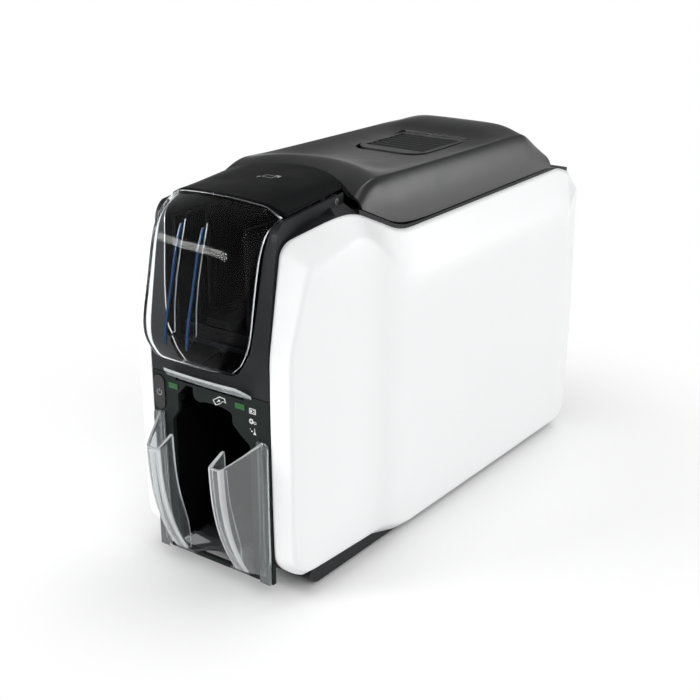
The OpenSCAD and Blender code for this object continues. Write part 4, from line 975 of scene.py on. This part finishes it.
def front_symbols():
    """Card, settings, cleaning and feed marks on the plate, and the power mark on its button."""
    card = [frame_outline(36, 130, 5.4, 3.6, 0.45), [rectangle(34.9, 129.9, 1.2, 1.7)],
            [rectangle(37.3, 130.7, 1.7, 0.5)], [rectangle(37.3, 129.4, 1.7, 0.5)]]
    symbol("mark_id_card", card, on_plate, "mark_white", "printer")
    gear = [cog(34.8, 123, 1.9), frame_outline(37.7, 122.4, 2.2, 1.6, 0.35, 0.3)]
    symbol("mark_settings", gear, on_plate, "mark_white", "printer")
    brush = [[[(36.2, 114.4), (38.6, 114.4), (37.7, 116.4), (37.1, 116.4)]],
             [rectangle(37.4, 117.6, 0.4, 2.2)],
             [circle(35.1, 116.3, 0.55, 16)], [circle(33.9, 117.7, 0.35, 12)]]
    symbol("mark_clean", brush, on_plate, "mark_white", "printer")
    bent = [(3.0, 129.6), (5.2, 126.4), (8.6, 127.9), (12.2, 130.9), (14.2, 129.8), (13.4, 132.9),
            (9.0, 133.4)]
    feed = [ring(bent, 0.6), [arrow(6.6, 129.0, 3.4, 1.0, 35)]]
    symbol("mark_feed", feed, on_plate, "mark_white", "printer")
    x, z = -43.4, 124.0
    stem = rectangle(x, z + 1.5, 0.5, 2.4)
    outer, inner = [[(x + r * math.sin(math.radians(a)), z + r * math.cos(math.radians(a)))
                     for a in range(40, 321, 10)] for r in (2.3, 1.8)]
    symbol("mark_power", [[outer + inner[::-1]], [stem]], on_button, "mark_grey", "power_button_body")


def door_symbol():
    """The mark on the door: put cards in here."""
    x, y = 0.0, 64.0
    shapes = [frame_outline(x, y, 8.4, 5.6, 0.55, 0.8), [rectangle(x + 4.6, y + 4.4, 4.6, 0.55)],
              [rectangle(x + 6.6, y + 2.5, 0.55, 3.8)], [arrow(x - 5.6, y - 6.0, 4.4, 1.3, 90)]]
    symbol("mark_cards", shapes, on_door, "mark_grey", "door")


# ---------- stage, light and camera ----------
def seen_directly(nt):
    """1 for the rays that show the background: to the camera, in a reflection or through glass."""
    path = nt.nodes.new("ShaderNodeLightPath")
    value = path.outputs["Is Camera Ray"]
    for kind in ("Is Glossy Ray", "Is Transmission Ray"):
        value = node_math(nt, "MAXIMUM", value, path.outputs[kind])
    return value


FADE = (0.16, 0.42)           # distance from the middle over which the floor turns white, m
FLOOR_HALF_SIZE = 4.0


def stage_material(name, shade):
    """Pale floor that keeps the object's shadow and fades to white away from it."""
    m, nt, b = new_material(name)
    nt.links.new(blend_colours(nt, noise(nt, 3, 2), shade, darker(shade, 0.99)), b.inputs["Base Color"])
    b.inputs["Roughness"].default_value = 0.9
    b.inputs["Specular IOR Level"].default_value = 0.1
    white = nt.nodes.new("ShaderNodeEmission")
    white.inputs["Color"].default_value = (1, 1, 1, 1)
    co = nt.nodes.new("ShaderNodeTexCoord")
    away = nt.nodes.new("ShaderNodeVectorMath")
    away.operation = "LENGTH"
    nt.links.new(co.outputs["Object"], away.inputs[0])
    fade = map_range(nt, away.outputs["Value"], *FADE, 0, 1, "SMOOTHSTEP")
    mix = nt.nodes.new("ShaderNodeMixShader")
    nt.links.new(node_math(nt, "MULTIPLY", fade, seen_directly(nt)), mix.inputs[0])
    nt.links.new(b.outputs[0], mix.inputs[1])
    nt.links.new(white.outputs[0], mix.inputs[2])
    out = next(n for n in nt.nodes if n.type == "OUTPUT_MATERIAL")
    nt.links.new(mix.outputs[0], out.inputs[0])
    return m


def build_stage():
    """The floor."""
    bm = bmesh.new()
    bmesh.ops.create_grid(bm, x_segments=2, y_segments=2, size=FLOOR_HALF_SIZE)
    me = bpy.data.meshes.new("floor")
    bm.to_mesh(me)
    bm.free()
    ob = bpy.data.objects.new("floor", me)
    bpy.context.scene.collection.objects.link(ob)
    me.materials.append(stage_material("floor_white", (0.95, 0.95, 0.95)))


def aim(ob, place, target):
    """Puts a lamp or camera at place, looking at target."""
    ob.location = place
    ob.rotation_euler = (Vector(target) - Vector(place)).to_track_quat("-Z", "Y").to_euler()


def area_light(name, place, target, width, height, power):
    """A rectangular lamp."""
    d = bpy.data.lights.new(name, "AREA")
    d.energy = power
    d.shape = "RECTANGLE"
    d.size = width
    d.size_y = height
    ob = bpy.data.objects.new(name, d)
    bpy.context.scene.collection.objects.link(ob)
    aim(ob, place, target)


DIFFUSE_SKY, MIRRORED_SKY = 0.55, 0.3
HORIZON = (0.03, 0.22)        # height of direction over which the mirrored sky dims


def build_world():
    """White to the camera and through glass; in a reflection white at the horizon and dimmer above."""
    w = bpy.data.worlds.new("studio")
    bpy.context.scene.world = w
    w.use_nodes = True
    nt = w.node_tree
    nt.nodes.clear()
    out = nt.nodes.new("ShaderNodeOutputWorld")
    path = nt.nodes.new("ShaderNodeLightPath")
    layers = []
    for strength in (DIFFUSE_SKY, 1.0, 1.0):
        b = nt.nodes.new("ShaderNodeBackground")
        b.inputs["Color"].default_value = (1, 1, 1, 1)
        b.inputs["Strength"].default_value = strength
        layers.append(b)
    diffuse, mirrored, seen = layers
    above = map_range(nt, coordinate(nt, "Generated", "Z"), *HORIZON, 1, MIRRORED_SKY)
    nt.links.new(above, mirrored.inputs["Strength"])
    through = node_math(nt, "MAXIMUM", path.outputs["Is Camera Ray"], path.outputs["Is Transmission Ray"])
    result = diffuse.outputs[0]
    for factor, layer in ((path.outputs["Is Glossy Ray"], mirrored), (through, seen)):
        mix = nt.nodes.new("ShaderNodeMixShader")
        nt.links.new(factor, mix.inputs[0])
        nt.links.new(result, mix.inputs[1])
        nt.links.new(layer.outputs[0], mix.inputs[2])
        result = mix.outputs[0]
    nt.links.new(result, out.inputs[0])


# Name, place and target in metres, width, height and watts
LAMPS = [
    ("key_right", (1.2, -0.9, 1.1), (0, 0, 0.12), 0.8, 0.8, 8.4),
    ("front_strip", (-0.80, -1.04, 0.51), (0, -0.18, 0.22), 0.7, 0.12, 10),
    ("side_rear", (1.25, 1.15, 0.42), (0, 0, 0.2), 0.7, 0.6, 5.7),
    ("top", (0.1, 0.5, 1.4), (0, 0, 0.2), 0.7, 0.7, 4),
]
CAMERA_AT, CAMERA_TARGET = (0.50484, -0.70903, 0.43869), (-0.02557, 0.0140, 0.10033)
LENS, SENSOR = 64.27, 36.0    # mm, from a fit of the photograph's view


def build_camera():
    """The photograph's camera."""
    cam = bpy.data.cameras.new("photo_camera")
    cam.lens = LENS
    cam.sensor_width = SENSOR
    ob = bpy.data.objects.new("photo_camera", cam)
    bpy.context.scene.collection.objects.link(ob)
    aim(ob, CAMERA_AT, CAMERA_TARGET)
    bpy.context.scene.camera = ob


def main():
    """Builds the pieces in a fixed order, then the stage, the light and the camera."""
    bpy.context.scene.view_settings.view_transform = "Standard"
    dress_nodes()
    side_panel("panel_right", 1, "side_panel_right")
    side_panel("panel_left", -1, "side_panel_left")
    hopper_door()
    lid_cover()
    hopper_window()
    window_ribs()
    bin_wing("bin_wing_right", 1)
    bin_wing("bin_wing_left", -1)
    bin_floor()
    feed_visor()
    front_symbols()
    door_symbol()
    build_stage()
    build_world()
    for lamp in LAMPS:
        area_light(*lamp)
    build_camera()


main()
